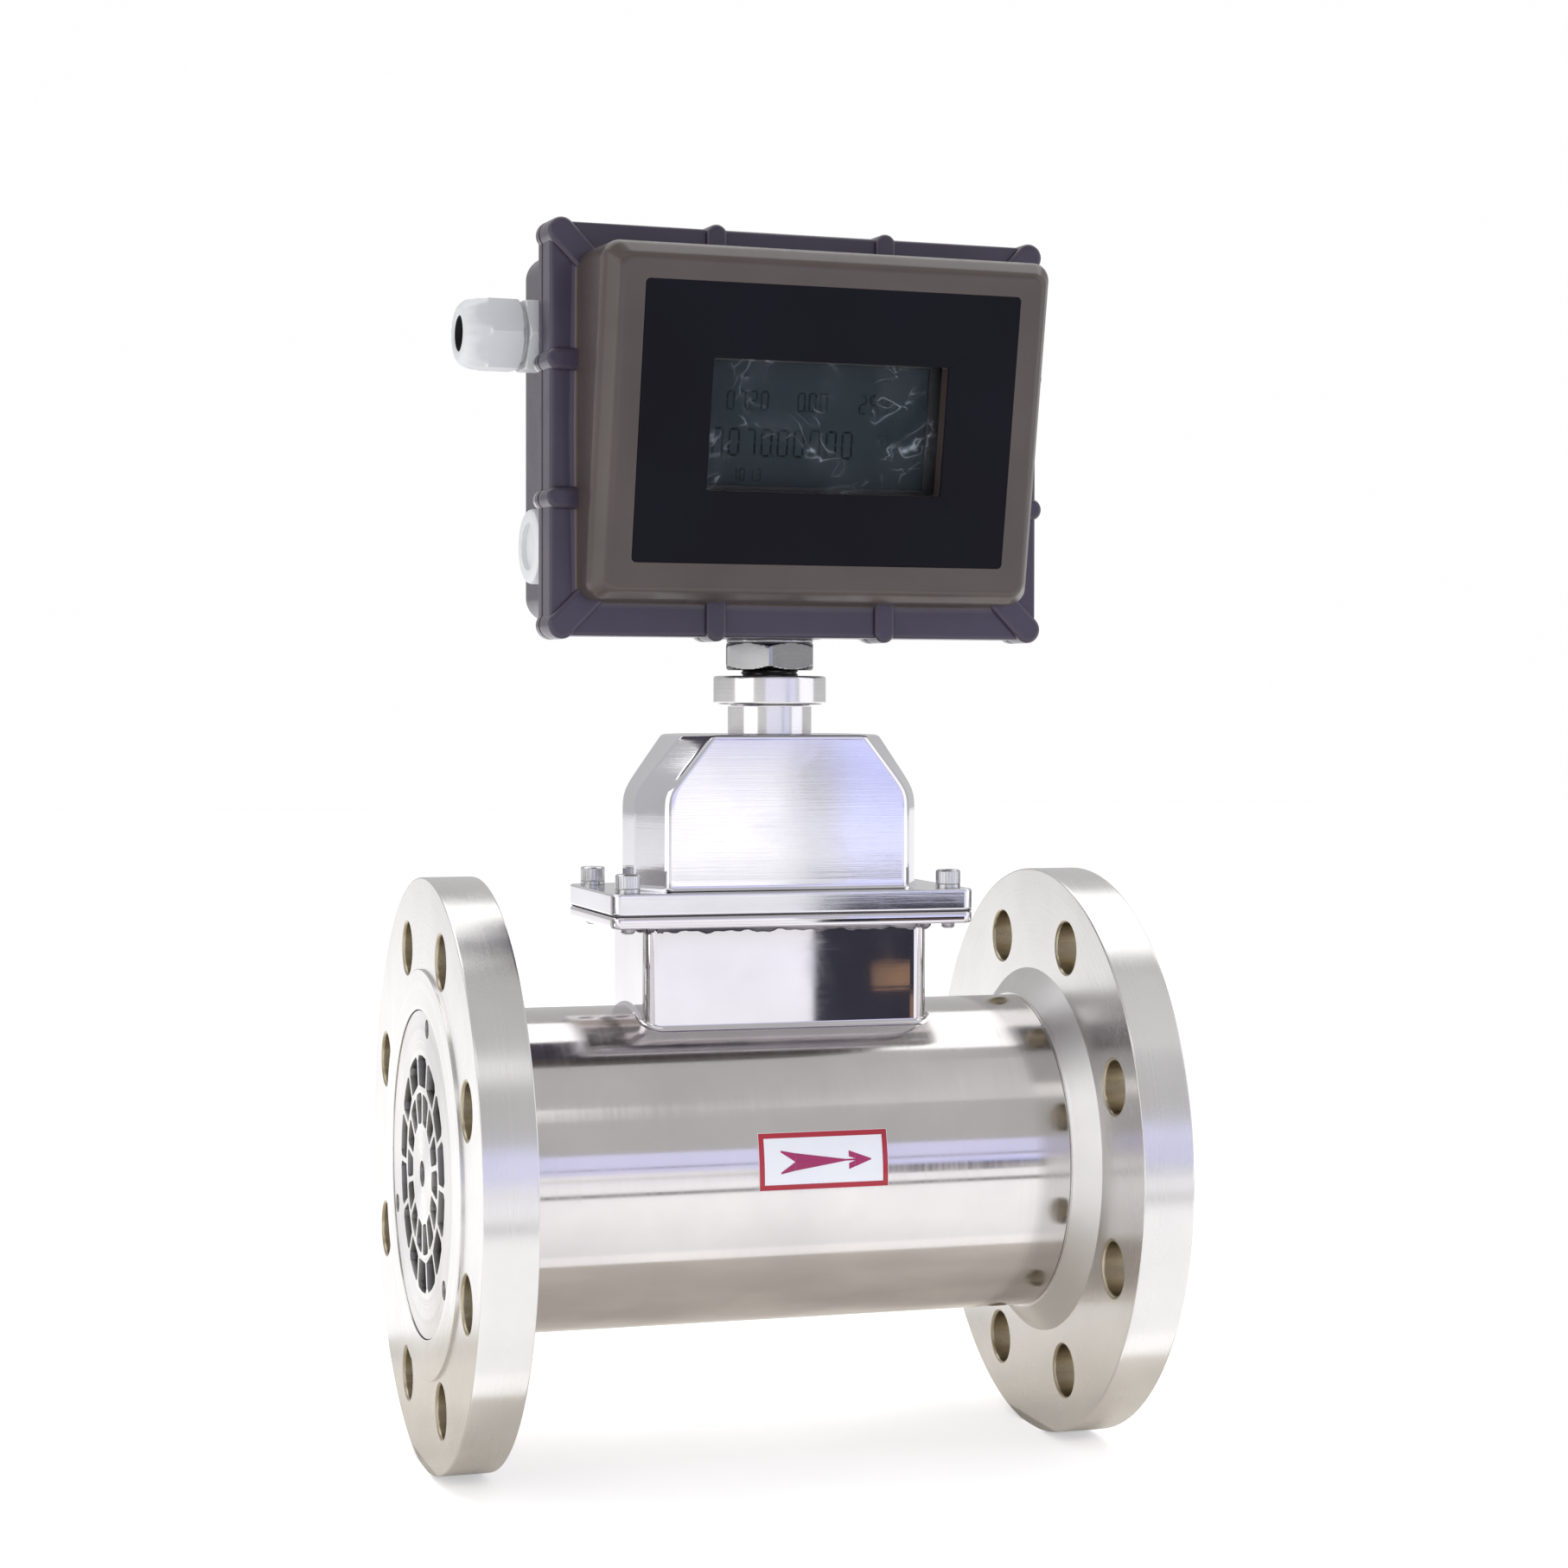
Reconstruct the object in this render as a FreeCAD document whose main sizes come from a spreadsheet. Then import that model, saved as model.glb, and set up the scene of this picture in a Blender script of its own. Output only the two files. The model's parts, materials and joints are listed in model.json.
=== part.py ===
import FreeCAD, Part
import math
import os

import Sketcher
from FreeCAD import Placement, Rotation, Vector

# Turbine flow meter with a flanged pipe run, a measuring cartridge inside it, a welded sensor
# pedestal with a bolted hood, and a swivelling display head on a threaded stem.
# Millimetres. The origin is the centre of the inlet flange's rim, on the side its bolts come
# from; +X is the flow direction and +Z points up to the head. Pieces are drawn with X measured
# from the inlet sealing face, and all move to the origin at the end.

SIZES = {
    # pipe run
    "face_to_face": 240,
    "raised_face": 1,
    "raised_face_diameter": 138,
    "flange_diameter": 200,
    "flange_rim": 18,
    "rim_edge": 0.8,
    "bolt_circle": 160,
    "bolt_hole": 18,
    "bolt_count": 8,
    "hub_length": 7.5,
    "hub_wide_diameter": 129,
    "hub_narrow_diameter": 112,
    "tube_diameter": 110,
    "tube_bore": 98,
    "outlet_lip": 10,
    # measuring cartridge
    "cartridge_diameter": 92,
    "cartridge_bore": 80,
    "cartridge_play": 0.2,
    "disc_diameter": 110,
    "disc_thickness": 8,
    "disc_setback": 0.5,
    "disc_play": 0.35,
    "straightener_length": 29.5,
    "grille_count": 14,
    "grille_rib": 1.8,
    "grille_hub_radius": 17,
    "inner_ring_radius": 27.3,
    "outer_ring_radius": 29.5,
    "grille_corner": 1.6,
    "disc_screw_radius": 50.5,
    "disc_screw_hole": 6.5,
    "disc_screw_turn": 10,
    "disc_screw_shank": 4,
    "disc_screw_thread": 7,
    "disc_screw_floor": 3,
    "disc_screw_socket": 3,
    "guide_bolt_head": 8.4,
    "guide_bolt_head_height": 5,
    "guide_bolt_shank": 5,
    "guide_bolt_seat": 9,
    "guide_bolt_length": 34,
    "guide_bolt_socket": 4,
    "screw_tip_gap": 1,
    "screw_head_play": 0.25,
    "o_ring_section": 2.1,
    "o_ring_groove": 2.6,
    "o_ring_inset": 9,
    # guides and rotor
    "guide_radius": 27,
    "nose_length": 40,
    "inlet_guide_length": 68,
    "vane_count": 6,
    "vane_thickness": 2,
    "vane_play": 0.2,
    "rotor_gap": 3,
    "rotor_width": 18,
    "rotor_rim": 5,
    "rotor_web": 5,
    "rotor_boss_radius": 8,
    "rotor_boss_length": 11,
    "blade_count": 16,
    "blade_thickness": 1.6,
    "blade_margin": 1,
    "blade_pitch_radius": 33,
    "blade_tip_gap": 0.8,
    "outlet_guide_length": 70,
    "outlet_parallel": 18,
    "tail_radius": 11,
    "wheel_recess": 9,
    "wheel_recess_wall": 2,
    "shaft_diameter": 6,
    "shaft_end": 4,
    "wheel_thickness": 5,
    "wheel_play": 2,
    "magnet_diameter": 5,
    "magnet_thickness": 3,
    "magnet_count": 4,
    "bearing_diameter": 19,
    "bearing_width": 6,
    "bearing_seat": 7.5,
    "outer_race_wall": 1.8,
    "inner_race_wall": 1.9,
    "ball_play": 0.05,
    "ball_count": 7,
    "bearing_relief": 6.5,
    "rotor_nut_across": 10,
    "rotor_nut_height": 3.2,
    # sensors under the hood
    "boss_diameter": 18,
    "boss_spacing": 2,
    "boss_wall_gap": 0.5,
    "boss_top": 64,
    "sensor_shank": 12,
    "sensor_play": 0.2,
    "pickup_tip": 40.8,
    "probe_tip": 30,
    "probe_diameter": 6,
    "pressure_tap": 3,
    "sensor_hex": 17,
    "sensor_hex_height": 6,
    "pickup_body_diameter": 16,
    "pickup_body_height": 22,
    "pickup_plug_diameter": 10,
    "pressure_body_diameter": 17,
    "pressure_body_height": 24,
    "pressure_plug_diameter": 8,
    "sensor_plug_height": 6,
    "temperature_head_diameter": 16,
    "temperature_head_height": 14,
    # pedestal and hood
    "neck_place": 122.5,
    "pedestal_length": 101,
    "pedestal_width": 50,
    "pedestal_corner": 6,
    "pedestal_wall": 4,
    "weld_gap": 0.05,
    "weld_leg": 2.2,
    "plate_overhang_along": 13.5,
    "plate_overhang_across": 8,
    "plate_corner": 4,
    "plate_underside": 83.5,
    "pedestal_plate_thickness": 4.2,
    "plate_edge": 1.4,
    "gasket_thickness": 0.5,
    "gasket_inset": 1,
    "hood_flange_thickness": 7.1,
    "hood_ledge_along": 13.5,
    "hood_ledge_across": 8.8,
    "hood_corner_along": 7.7,
    "hood_corner_across": 15.6,
    "hood_top_length": 70.6,
    "hood_top_corner_along": 8.5,
    "hood_top_corner_across": 10.4,
    "hood_shoulder": 128.5,
    "hood_top": 148.2,
    "hood_wall": 3,
    "hood_roof": 4,
    "hood_blunt": 2.4,
    "hood_screw_inset_along": 7,
    "hood_screw_inset_across": 8,
    "hood_screw_diameter": 5,
    "hood_screw_play": 0.25,
    "hood_screw_head": 8.5,
    "hood_screw_head_height": 5,
    "hood_screw_tail": 2,
    "spring_washer": 1.3,
    # neck
    "neck_diameter": 29,
    "neck_height": 10.2,
    "collar_diameter": 39,
    "collar_height": 9.9,
    "collar_edge": 1,
    "stem_diameter": 20,
    "stem_bore": 12,
    "stem_play": 0.08,
    "stem_reach": 32,
    "stem_spigot": 12,
    "nut_lift": 2,
    "nut_across": 30,
    "nut_height": 9.5,
    "nut_turn": -107,
    "nut_washer_diameter": 30,
    "nut_washer_thickness": 1.2,
    "swivel_gap": 0.3,
    "inner_nut_height": 6,
    # head
    "head_yaw": 4,
    "head_length": 176,
    "head_depth_front": 29.1,
    "head_tall": 136,
    "head_corner": 5,
    "cover_rim": 9,
    "housing_gasket_thickness": 1,
    "housing_rim": 4.6,
    "rim_overhang": 5.7,
    "head_back": 22.9,
    "housing_corner": 8,
    "housing_back_round": 6,
    "housing_wall": 4,
    "housing_boss_diameter": 36,
    "housing_boss_length": 5.4,
    "boss_width": 7.4,
    "corner_boss_width": 9.4,
    "boss_reach": 1.5,
    "boss_rise": 2,
    "rib_reach": 15,
    "boss_spacing_along": 61,
    "boss_spacing_up": 45.4,
    "corner_boss_inset": 3.6,
    "bezel_length": 158,
    "bezel_top": 58.6,
    "bezel_bottom": 56.5,
    "bezel_corner": 6,
    "bezel_reach": 25.9,
    "bezel_tilt": 9.54,
    "bezel_band_depth": 6.4,
    "bezel_band_width": 4.3,
    "bezel_wall": 4,
    "face_wall": 6,
    "panel_length": 132,
    "panel_tall": 91.2,
    "panel_rise": 0.9,
    "panel_corner": 1.5,
    "panel_thickness": 0.9,
    "panel_recess": 1,
    "panel_play": 0.15,
    "window_length": 83.4,
    "window_tall": 43.3,
    "window_corner": 1.2,
    "window_border": 6,
    "window_rise": 0.5,
    "glass_thickness": 4,
    "screen_length": 78,
    "screen_tall": 41,
    "screen_thickness": 0.5,
    "module_thickness": 6,
    "module_border": 6,
    "display_gap": 0.2,
    "display_board_length": 114,
    "display_board_tall": 68,
    "board_thickness": 1.6,
    "pillar_diameter": 6,
    "pillar_inset": 4,
    "main_board_length": 130,
    "main_board_tall": 84,
    "main_board_rise": 12,
    "standoff_length": 8.3,
    "standoff_inset": 5,
    "terminal_length": 60,
    "terminal_tall": 10,
    "terminal_depth": 9,
    "terminal_drop": 22,
    "battery_diameter": 26,
    "battery_length": 50,
    "battery_rise": 30,
    "clip_wall": 1,
    "clip_width": 12,
    # covers' fasteners
    "cover_screw_diameter": 4,
    "cover_screw_play": 0.25,
    "cover_screw_head": 6.4,
    "cover_screw_head_height": 2.6,
    "cover_screw_grip": 7,
    # cable entries
    "entry_diameter": 20,
    "entry_play": 0.1,
    "gland_rise": 33,
    "plug_drop": 37.5,
    "gland_hex": 23,
    "gland_hex_length": 7.6,
    "gland_gap": 1.9,
    "gland_thread_diameter": 18,
    "gland_nut_hex_length": 13.1,
    "gland_dome_length": 6.6,
    "gland_mouth_diameter": 15,
    "gland_bore": 12,
    "seal_bore": 10,
    "entry_thread_length": 13,
    "locknut_across": 25,
    "locknut_height": 4.5,
    "plug_head_diameter": 25.3,
    "plug_head_height": 5,
    # flow direction label on the tube
    "label_start": 102.8,
    "label_length": 45,
    "label_low": -2.3,
    "label_sweep": 20,
    "label_thickness": 0.25,
}


class Size:
    """A length that carries both its present value and the sheet formula that gives it."""

    def __init__(self, number, formula):
        self.number = float(number)
        self.formula = formula

    def joined(self, sign, other, number):
        return Size(number, f"({self.formula} {sign} {formula_of(other)})")

    def __add__(self, other):
        return self.joined("+", other, self.number + number_of(other))

    def __radd__(self, other):
        return size_of(other) + self

    def __sub__(self, other):
        return self.joined("-", other, self.number - number_of(other))

    def __rsub__(self, other):
        return size_of(other) - self

    def __mul__(self, other):
        return self.joined("*", other, self.number * number_of(other))

    def __rmul__(self, other):
        return size_of(other) * self

    def __truediv__(self, other):
        return self.joined("/", other, self.number / number_of(other))

    def __rtruediv__(self, other):
        return size_of(other) / self

    def __neg__(self):
        return Size(-self.number, f"(0 - {self.formula})")


def size_of(value):
    """A plain number becomes a size whose formula is the number itself."""
    return value if isinstance(value, Size) else Size(value, repr(value))


def number_of(value):
    return size_of(value).number


def formula_of(value):
    return size_of(value).formula


def sine(angle):
    """Sine of an angle in degrees."""
    return Size(math.sin(math.radians(number_of(angle))), f"sin({formula_of(angle)})")


def cosine(angle):
    """Cosine of an angle in degrees."""
    return Size(math.cos(math.radians(number_of(angle))), f"cos({formula_of(angle)})")


def tangent(angle):
    """Tangent of an angle in degrees."""
    return sine(angle) / cosine(angle)


class Sheet:
    """The spreadsheet of driving sizes, one alias for each name."""

    def __init__(self, document, sizes):
        cells = document.addObject("Spreadsheet::Sheet", "sizes")
        for row, (name, value) in enumerate(sizes.items(), start=1):
            cells.set(f"A{row}", name)
            cells.set(f"B{row}", str(value))
            cells.setAlias(f"B{row}", name)
        document.recompute()
        self.cells = cells

    def __getattr__(self, name):
        return Size(getattr(self.cells, name), f"sizes.{name}")


document = FreeCAD.newDocument("turbine_flow_meter")
d = Sheet(document, SIZES)


# ---- helpers for bodies, sketches and features ----


def new_body(label):
    body = document.addObject("PartDesign::Body", label)
    body.Label = label
    return body


def origin_feature(body, role):
    return next(item for item in body.Origin.OriginFeatures if item.Role == role)


def sketch_on(body, role, offset=0, tilt=0):
    """A sketch on one of the body's origin planes, moved along its normal and tipped about its X."""
    sketch = body.newObject("Sketcher::SketchObject", f"{body.Name}_sketch")
    sketch.AttachmentSupport = [(origin_feature(body, role), "")]
    sketch.MapMode = "FlatFace"
    turn = Rotation(Vector(1, 0, 0), number_of(tilt))
    sketch.AttachmentOffset = Placement(Vector(0, 0, number_of(offset)), turn)
    if isinstance(offset, Size):
        sketch.setExpression(".AttachmentOffset.Base.z", offset.formula)
    return sketch


def hold(sketch, kind, element, point, size):
    """Hold one point of the sketch at a distance from its origin."""
    number = sketch.addConstraint(Sketcher.Constraint(kind, -1, 1, element, point, number_of(size)))
    if isinstance(size, Size):
        sketch.setExpression(f"Constraints[{number}]", size.formula)


def outline(sketch, corners):
    """Close a run of straight lines through the corners, each held by its two distances."""
    first = sketch.GeometryCount
    count = len(corners)
    for index, (x, y) in enumerate(corners):
        next_x, next_y = corners[(index + 1) % count]
        start = Vector(number_of(x), number_of(y), 0)
        end = Vector(number_of(next_x), number_of(next_y), 0)
        sketch.addGeometry(Part.LineSegment(start, end), False)
    for index in range(count):
        follower = first + (index + 1) % count
        sketch.addConstraint(Sketcher.Constraint("Coincident", first + index, 2, follower, 1))
    for index, (x, y) in enumerate(corners):
        hold(sketch, "DistanceX", first + index, 1, x)
        hold(sketch, "DistanceY", first + index, 1, y)


def rectangle(sketch, low_x, high_x, low_y, high_y):
    outline(sketch, [(low_x, low_y), (high_x, low_y), (high_x, high_y), (low_x, high_y)])


def centred_rectangle(sketch, length, width, x=0, y=0):
    rectangle(sketch, x - length / 2, x + length / 2, y - width / 2, y + width / 2)


def corner_arc(sketch, x, y, radius, start, sweep):
    """An arc about a held centre, from the angle start through sweep degrees."""
    middle = Vector(number_of(x), number_of(y), 0)
    whole = Part.Circle(middle, Vector(0, 0, 1), number_of(radius))
    ends = math.radians(start), math.radians(start + sweep)
    element = sketch.addGeometry(Part.ArcOfCircle(whole, *ends), False)
    hold(sketch, "DistanceX", element, 3, x)
    hold(sketch, "DistanceY", element, 3, y)
    number = sketch.addConstraint(Sketcher.Constraint("Radius", element, number_of(radius)))
    sketch.setExpression(f"Constraints[{number}]", formula_of(radius))
    return element


def end_point(sketch, element, point):
    return sketch.getPoint(element, point)


def rounded_rectangle(sketch, length, width, radius, x=0, y=0):
    """A rectangle about (x, y) with four equal round corners."""
    across = length / 2 - radius
    up = width / 2 - radius
    signs = ((1, 1), (-1, 1), (-1, -1), (1, -1))
    arcs = []
    for quarter, (x_side, y_side) in enumerate(signs):
        centre_x = x + across * x_side
        arcs.append(corner_arc(sketch, centre_x, y + up * y_side, radius, 90 * quarter, 90))
    for arc, follower in zip(arcs, arcs[1:] + arcs[:1]):
        start = end_point(sketch, arc, 2)
        finish = end_point(sketch, follower, 1)
        line = sketch.addGeometry(Part.LineSegment(start, finish), False)
        sketch.addConstraint(Sketcher.Constraint("Tangent", arc, 2, line, 1))
        sketch.addConstraint(Sketcher.Constraint("Tangent", line, 2, follower, 1))


def tongue(sketch, x, y, out_x, out_y, radius, reach):
    """A strip with a round end at (x, y) that runs inwards, against (out_x, out_y)."""
    size = math.hypot(out_x, out_y)
    out_x = out_x / size
    out_y = out_y / size
    heading = math.degrees(math.atan2(out_y, out_x))
    arc = corner_arc(sketch, x, y, radius, heading - 90, 180)
    inner = []
    for side in (1, -1):
        inner_x = x - reach * out_x - radius * out_y * side
        inner_y = y - reach * out_y + radius * out_x * side
        inner.append((inner_x, inner_y))
    far = [Vector(number_of(a), number_of(b), 0) for a, b in inner]
    left = sketch.addGeometry(Part.LineSegment(end_point(sketch, arc, 2), far[0]), False)
    back = sketch.addGeometry(Part.LineSegment(far[0], far[1]), False)
    right = sketch.addGeometry(Part.LineSegment(far[1], end_point(sketch, arc, 1)), False)
    sketch.addConstraint(Sketcher.Constraint("Tangent", arc, 2, left, 1))
    sketch.addConstraint(Sketcher.Constraint("Coincident", left, 2, back, 1))
    sketch.addConstraint(Sketcher.Constraint("Coincident", back, 2, right, 1))
    sketch.addConstraint(Sketcher.Constraint("Tangent", right, 2, arc, 1))
    for element, (a, b) in ((back, inner[0]), (right, inner[1])):
        hold(sketch, "DistanceX", element, 1, a)
        hold(sketch, "DistanceY", element, 1, b)


def circle(sketch, x, y, radius):
    centre = Vector(number_of(x), number_of(y), 0)
    element = sketch.addGeometry(Part.Circle(centre, Vector(0, 0, 1), number_of(radius)), False)
    hold(sketch, "DistanceX", element, 3, x)
    hold(sketch, "DistanceY", element, 3, y)
    number = sketch.addConstraint(Sketcher.Constraint("Radius", element, number_of(radius)))
    sketch.setExpression(f"Constraints[{number}]", formula_of(radius))


def hexagon(sketch, across, x=0, y=0, turn=0):
    """Regular hexagon; across is the width over its flats and turn moves its first corner."""
    radius = across / 2 / cosine(30)
    corners = []
    for step in range(6):
        angle = turn + 60 * step
        corners.append((x + radius * cosine(angle), y + radius * sine(angle)))
    outline(sketch, corners)


def set_size(feature, name, size):
    setattr(feature, name, number_of(size))
    if isinstance(size, Size):
        feature.setExpression(name, size.formula)


def volume_of(body):
    return body.Shape.Volume if not body.Shape.isNull() else 0.0


def finished(body, feature, sign):
    """Recompute, and check that a feature really added (sign 1) or removed (sign -1) material."""
    before = volume_of(body)
    body.Tip = feature
    document.recompute()
    change = volume_of(body) - before
    if change * sign <= 0:
        raise ValueError(f"{body.Label}: {feature.Label} changed the volume by {change:.3f}")
    return feature


def pad(body, sketch, length, midplane=False, backwards=False):
    feature = body.newObject("PartDesign::Pad", f"{body.Name}_pad")
    feature.Profile = sketch
    feature.Midplane = midplane
    feature.Reversed = backwards
    set_size(feature, "Length", length)
    return finished(body, feature, 1)


def pocket(body, sketch, depth=None, midplane=False, backwards=False):
    """Cut the sketch out of the body: through everything, or to a depth against the normal."""
    feature = body.newObject("PartDesign::Pocket", f"{body.Name}_pocket")
    feature.Profile = sketch
    feature.Midplane = midplane
    feature.Reversed = backwards
    if depth is None:
        feature.Type = "ThroughAll"
    else:
        set_size(feature, "Length", depth)
    return finished(body, feature, -1)


def revolve(body, sketch, axis="H_Axis"):
    feature = body.newObject("PartDesign::Revolution", f"{body.Name}_revolution")
    feature.Profile = sketch
    feature.ReferenceAxis = (sketch, [axis])
    feature.Angle = 360
    return finished(body, feature, 1)


def groove(body, sketch, axis="H_Axis"):
    feature = body.newObject("PartDesign::Groove", f"{body.Name}_groove")
    feature.Profile = sketch
    feature.ReferenceAxis = (sketch, [axis])
    feature.Angle = 360
    return finished(body, feature, -1)


def loft(body, sections, sign):
    """Straight-sided loft through the sketches, added (sign 1) or cut away (sign -1)."""
    kind = "PartDesign::AdditiveLoft" if sign > 0 else "PartDesign::SubtractiveLoft"
    feature = body.newObject(kind, f"{body.Name}_loft")
    feature.Profile = sections[0]
    feature.Sections = sections[1:]
    feature.Ruled = True
    return finished(body, feature, sign)


def round_pattern(body, feature, count, role, sign):
    """Repeat a feature evenly round one of the body's origin axes."""
    pattern = body.newObject("PartDesign::PolarPattern", f"{body.Name}_pattern")
    pattern.Originals = [feature]
    pattern.Axis = (origin_feature(body, role), [""])
    pattern.Angle = 360
    pattern.Occurrences = int(number_of(count))
    pattern.setExpression("Occurrences", formula_of(count))
    return finished(body, pattern, sign)


def edges_where(feature, wanted):
    """Names of the feature's edges for which the test is true."""
    return [f"Edge{i}" for i, edge in enumerate(feature.Shape.Edges, start=1) if wanted(edge)]


def is_along(edge, direction):
    """True for a straight edge parallel to the direction."""
    if not isinstance(edge.Curve, Part.Line):
        return False
    return abs(abs(edge.Curve.Direction.dot(direction)) - 1) < 1e-6


def fillet(body, feature, names, radius):
    rounded = body.newObject("PartDesign::Fillet", f"{body.Name}_fillet")
    rounded.Base = (feature, names)
    set_size(rounded, "Radius", radius)
    body.Tip = rounded
    document.recompute()
    return rounded


def chamfer(body, feature, names, size):
    bevel = body.newObject("PartDesign::Chamfer", f"{body.Name}_chamfer")
    bevel.Base = (feature, names)
    set_size(bevel, "Size", size)
    body.Tip = bevel
    document.recompute()
    return bevel


def turned(label, corners, axis="H_Axis"):
    """A body of revolution: corners are (along, radius) about X, or (radius, height) about Z."""
    body = new_body(label)
    sketch = sketch_on(body, "XZ_Plane")
    outline(sketch, corners)
    revolve(body, sketch, axis)
    return body


def ring_corners(low, high, inner, outer):
    return [(low, inner), (high, inner), (high, outer), (low, outer)]


def torus(label, centre_radius, section, turn=None):
    ring = document.addObject("Part::Torus", label)
    ring.Label = label
    set_size(ring, "Radius1", centre_radius)
    set_size(ring, "Radius2", section / 2)
    if turn is not None:
        ring.Placement = Placement(Vector(0, 0, 0), turn)
    return ring


def group(label, master, places):
    """One node that holds a copy of the master at each place."""
    copies = []
    for place in places:
        copy = master.Shape.copy()
        copy.Placement = place.multiply(master.Shape.Placement)
        copies.append(copy)
    node = document.addObject("Part::Feature", label)
    node.Label = label
    node.Shape = Part.makeCompound(copies)
    return node


def place_at(x=0, y=0, z=0, turn=None):
    base = Vector(number_of(x), number_of(y), number_of(z))
    return Placement(base, turn if turn is not None else Rotation())


def cap_screw(label, head, head_height, shank, length, socket):
    """A socket screw pointing down: its head stands on z = 0 and its shank hangs below."""
    bevel = head_height / 10
    corners = [
        (0, 0 - length),
        (shank / 2, 0 - length),
        (shank / 2, 0),
        (head / 2, 0),
        (head / 2, head_height - bevel),
        (head / 2 - bevel, head_height),
        (0, head_height),
    ]
    body = turned(label, corners, "V_Axis")
    sketch = sketch_on(body, "XY_Plane", head_height)
    hexagon(sketch, socket)
    pocket(body, sketch, head_height / 2)
    return body


def chamfered_nut(label, across, height, bore):
    """A hexagon nut standing on z = 0, with its corners turned off at both ends."""
    body = new_body(label)
    sketch = sketch_on(body, "XY_Plane")
    hexagon(sketch, across)
    circle(sketch, 0, 0, bore / 2)
    pad(body, sketch, height)
    corner = across / 2 / cosine(30)
    drop = (corner - across / 2) / 2
    cutter = sketch_on(body, "XZ_Plane")
    outline(cutter, [(across / 2, height), (corner + 1, height), (corner + 1, height - drop - drop / 2)])
    outline(cutter, [(across / 2, 0), (corner + 1, drop + drop / 2), (corner + 1, 0)])
    groove(body, cutter, "V_Axis")
    return body


# ---- derived places along the pipe ----

rim_back = d.raised_face + d.flange_rim
hub_end = rim_back + d.hub_length
disc_seat = d.disc_setback + d.disc_thickness
socket_radius = d.cartridge_diameter / 2 + d.cartridge_play
straightener_end = d.disc_setback + d.straightener_length
sleeve_end = d.face_to_face - d.outlet_lip
guide_back = straightener_end + d.inlet_guide_length
rotor_front = guide_back + d.rotor_gap
rotor_back = rotor_front + d.rotor_width
tail_front = rotor_back + d.rotor_gap
rotor_middle = rotor_front + d.rotor_width / 2
shaft_radius = d.shaft_diameter / 2
front_bearing = guide_back - d.bearing_seat
wheel_front = tail_front + d.wheel_play
wheel_back = wheel_front + d.wheel_thickness
rear_bearing = tail_front + d.wheel_recess
rear_seat_end = rear_bearing + d.bearing_width
shaft_front = front_bearing - d.shaft_end
shaft_back = rear_seat_end + d.shaft_end
web_back = rotor_middle + d.rotor_web / 2
boss_front = rotor_middle - d.rotor_boss_length / 2
boss_back = rotor_middle + d.rotor_boss_length / 2
pickup_place = rotor_middle
temperature_place = (
    d.neck_place + d.pedestal_length / 2 - d.pedestal_wall - d.boss_wall_gap - d.boss_diameter / 2
)
pressure_place = temperature_place - d.boss_diameter - d.boss_spacing


# ---- pipe run ----


def flange(label, along, bore_corners):
    """A round flange with a raised face and a bevelled hub; along turns a depth behind the
    sealing face into a place on the pipe."""
    rim = d.flange_diameter / 2
    edge = d.rim_edge
    corners = [
        (along(0), d.raised_face_diameter / 2),
        (along(d.raised_face), d.raised_face_diameter / 2),
        (along(d.raised_face), rim - edge),
        (along(d.raised_face + edge), rim),
        (along(rim_back - edge), rim),
        (along(rim_back), rim - edge),
        (along(rim_back), d.hub_wide_diameter / 2),
        (along(hub_end), d.hub_narrow_diameter / 2),
    ]
    body = turned(label, corners + bore_corners)
    half_step = 180 / d.bolt_count
    sketch = sketch_on(body, "YZ_Plane")
    circle(
        sketch,
        d.bolt_circle / 2 * sine(half_step),
        d.bolt_circle / 2 * cosine(half_step),
        d.bolt_hole / 2,
    )
    hole = pocket(body, sketch, midplane=True)
    round_pattern(body, hole, d.bolt_count, "X_Axis", -1)
    return body


def inlet_flange():
    counterbore = d.disc_diameter / 2 + d.disc_play
    bore = [
        (hub_end, socket_radius),
        (disc_seat, socket_radius),
        (disc_seat, counterbore),
        (0, counterbore),
    ]
    body = flange("inlet_flange", lambda depth: size_of(depth), bore)
    tapped = sketch_on(body, "YZ_Plane", disc_seat)
    for turn in disc_screw_turns():
        circle(
            tapped,
            0 - d.disc_screw_radius * sine(turn),
            d.disc_screw_radius * cosine(turn),
            d.disc_screw_shank / 2 + 0.05,
        )
    pocket(body, tapped, d.disc_screw_thread + d.screw_tip_gap, backwards=True)
    return body


def outlet_flange():
    end = d.face_to_face
    bore = [
        (end - hub_end, socket_radius),
        (sleeve_end, socket_radius),
        (sleeve_end, d.cartridge_bore / 2),
        (end, d.cartridge_bore / 2),
    ]
    return flange("outlet_flange", lambda depth: end - depth, bore)


def sensor_holes(body, diameters):
    """Holes on the top line of a pipe, one for each sensor."""
    sketch = sketch_on(body, "XY_Plane")
    places = (pickup_place, pressure_place, temperature_place)
    for place, diameter in zip(places, diameters):
        circle(sketch, place, 0, diameter / 2)
    pocket(body, sketch, backwards=True)


def meter_tube():
    corners = ring_corners(hub_end, d.face_to_face - hub_end, d.tube_bore / 2, d.tube_diameter / 2)
    body = turned("meter_tube", corners)
    wide = d.sensor_shank + d.sensor_play * 2
    sensor_holes(body, (wide, wide, wide))
    return body


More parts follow.
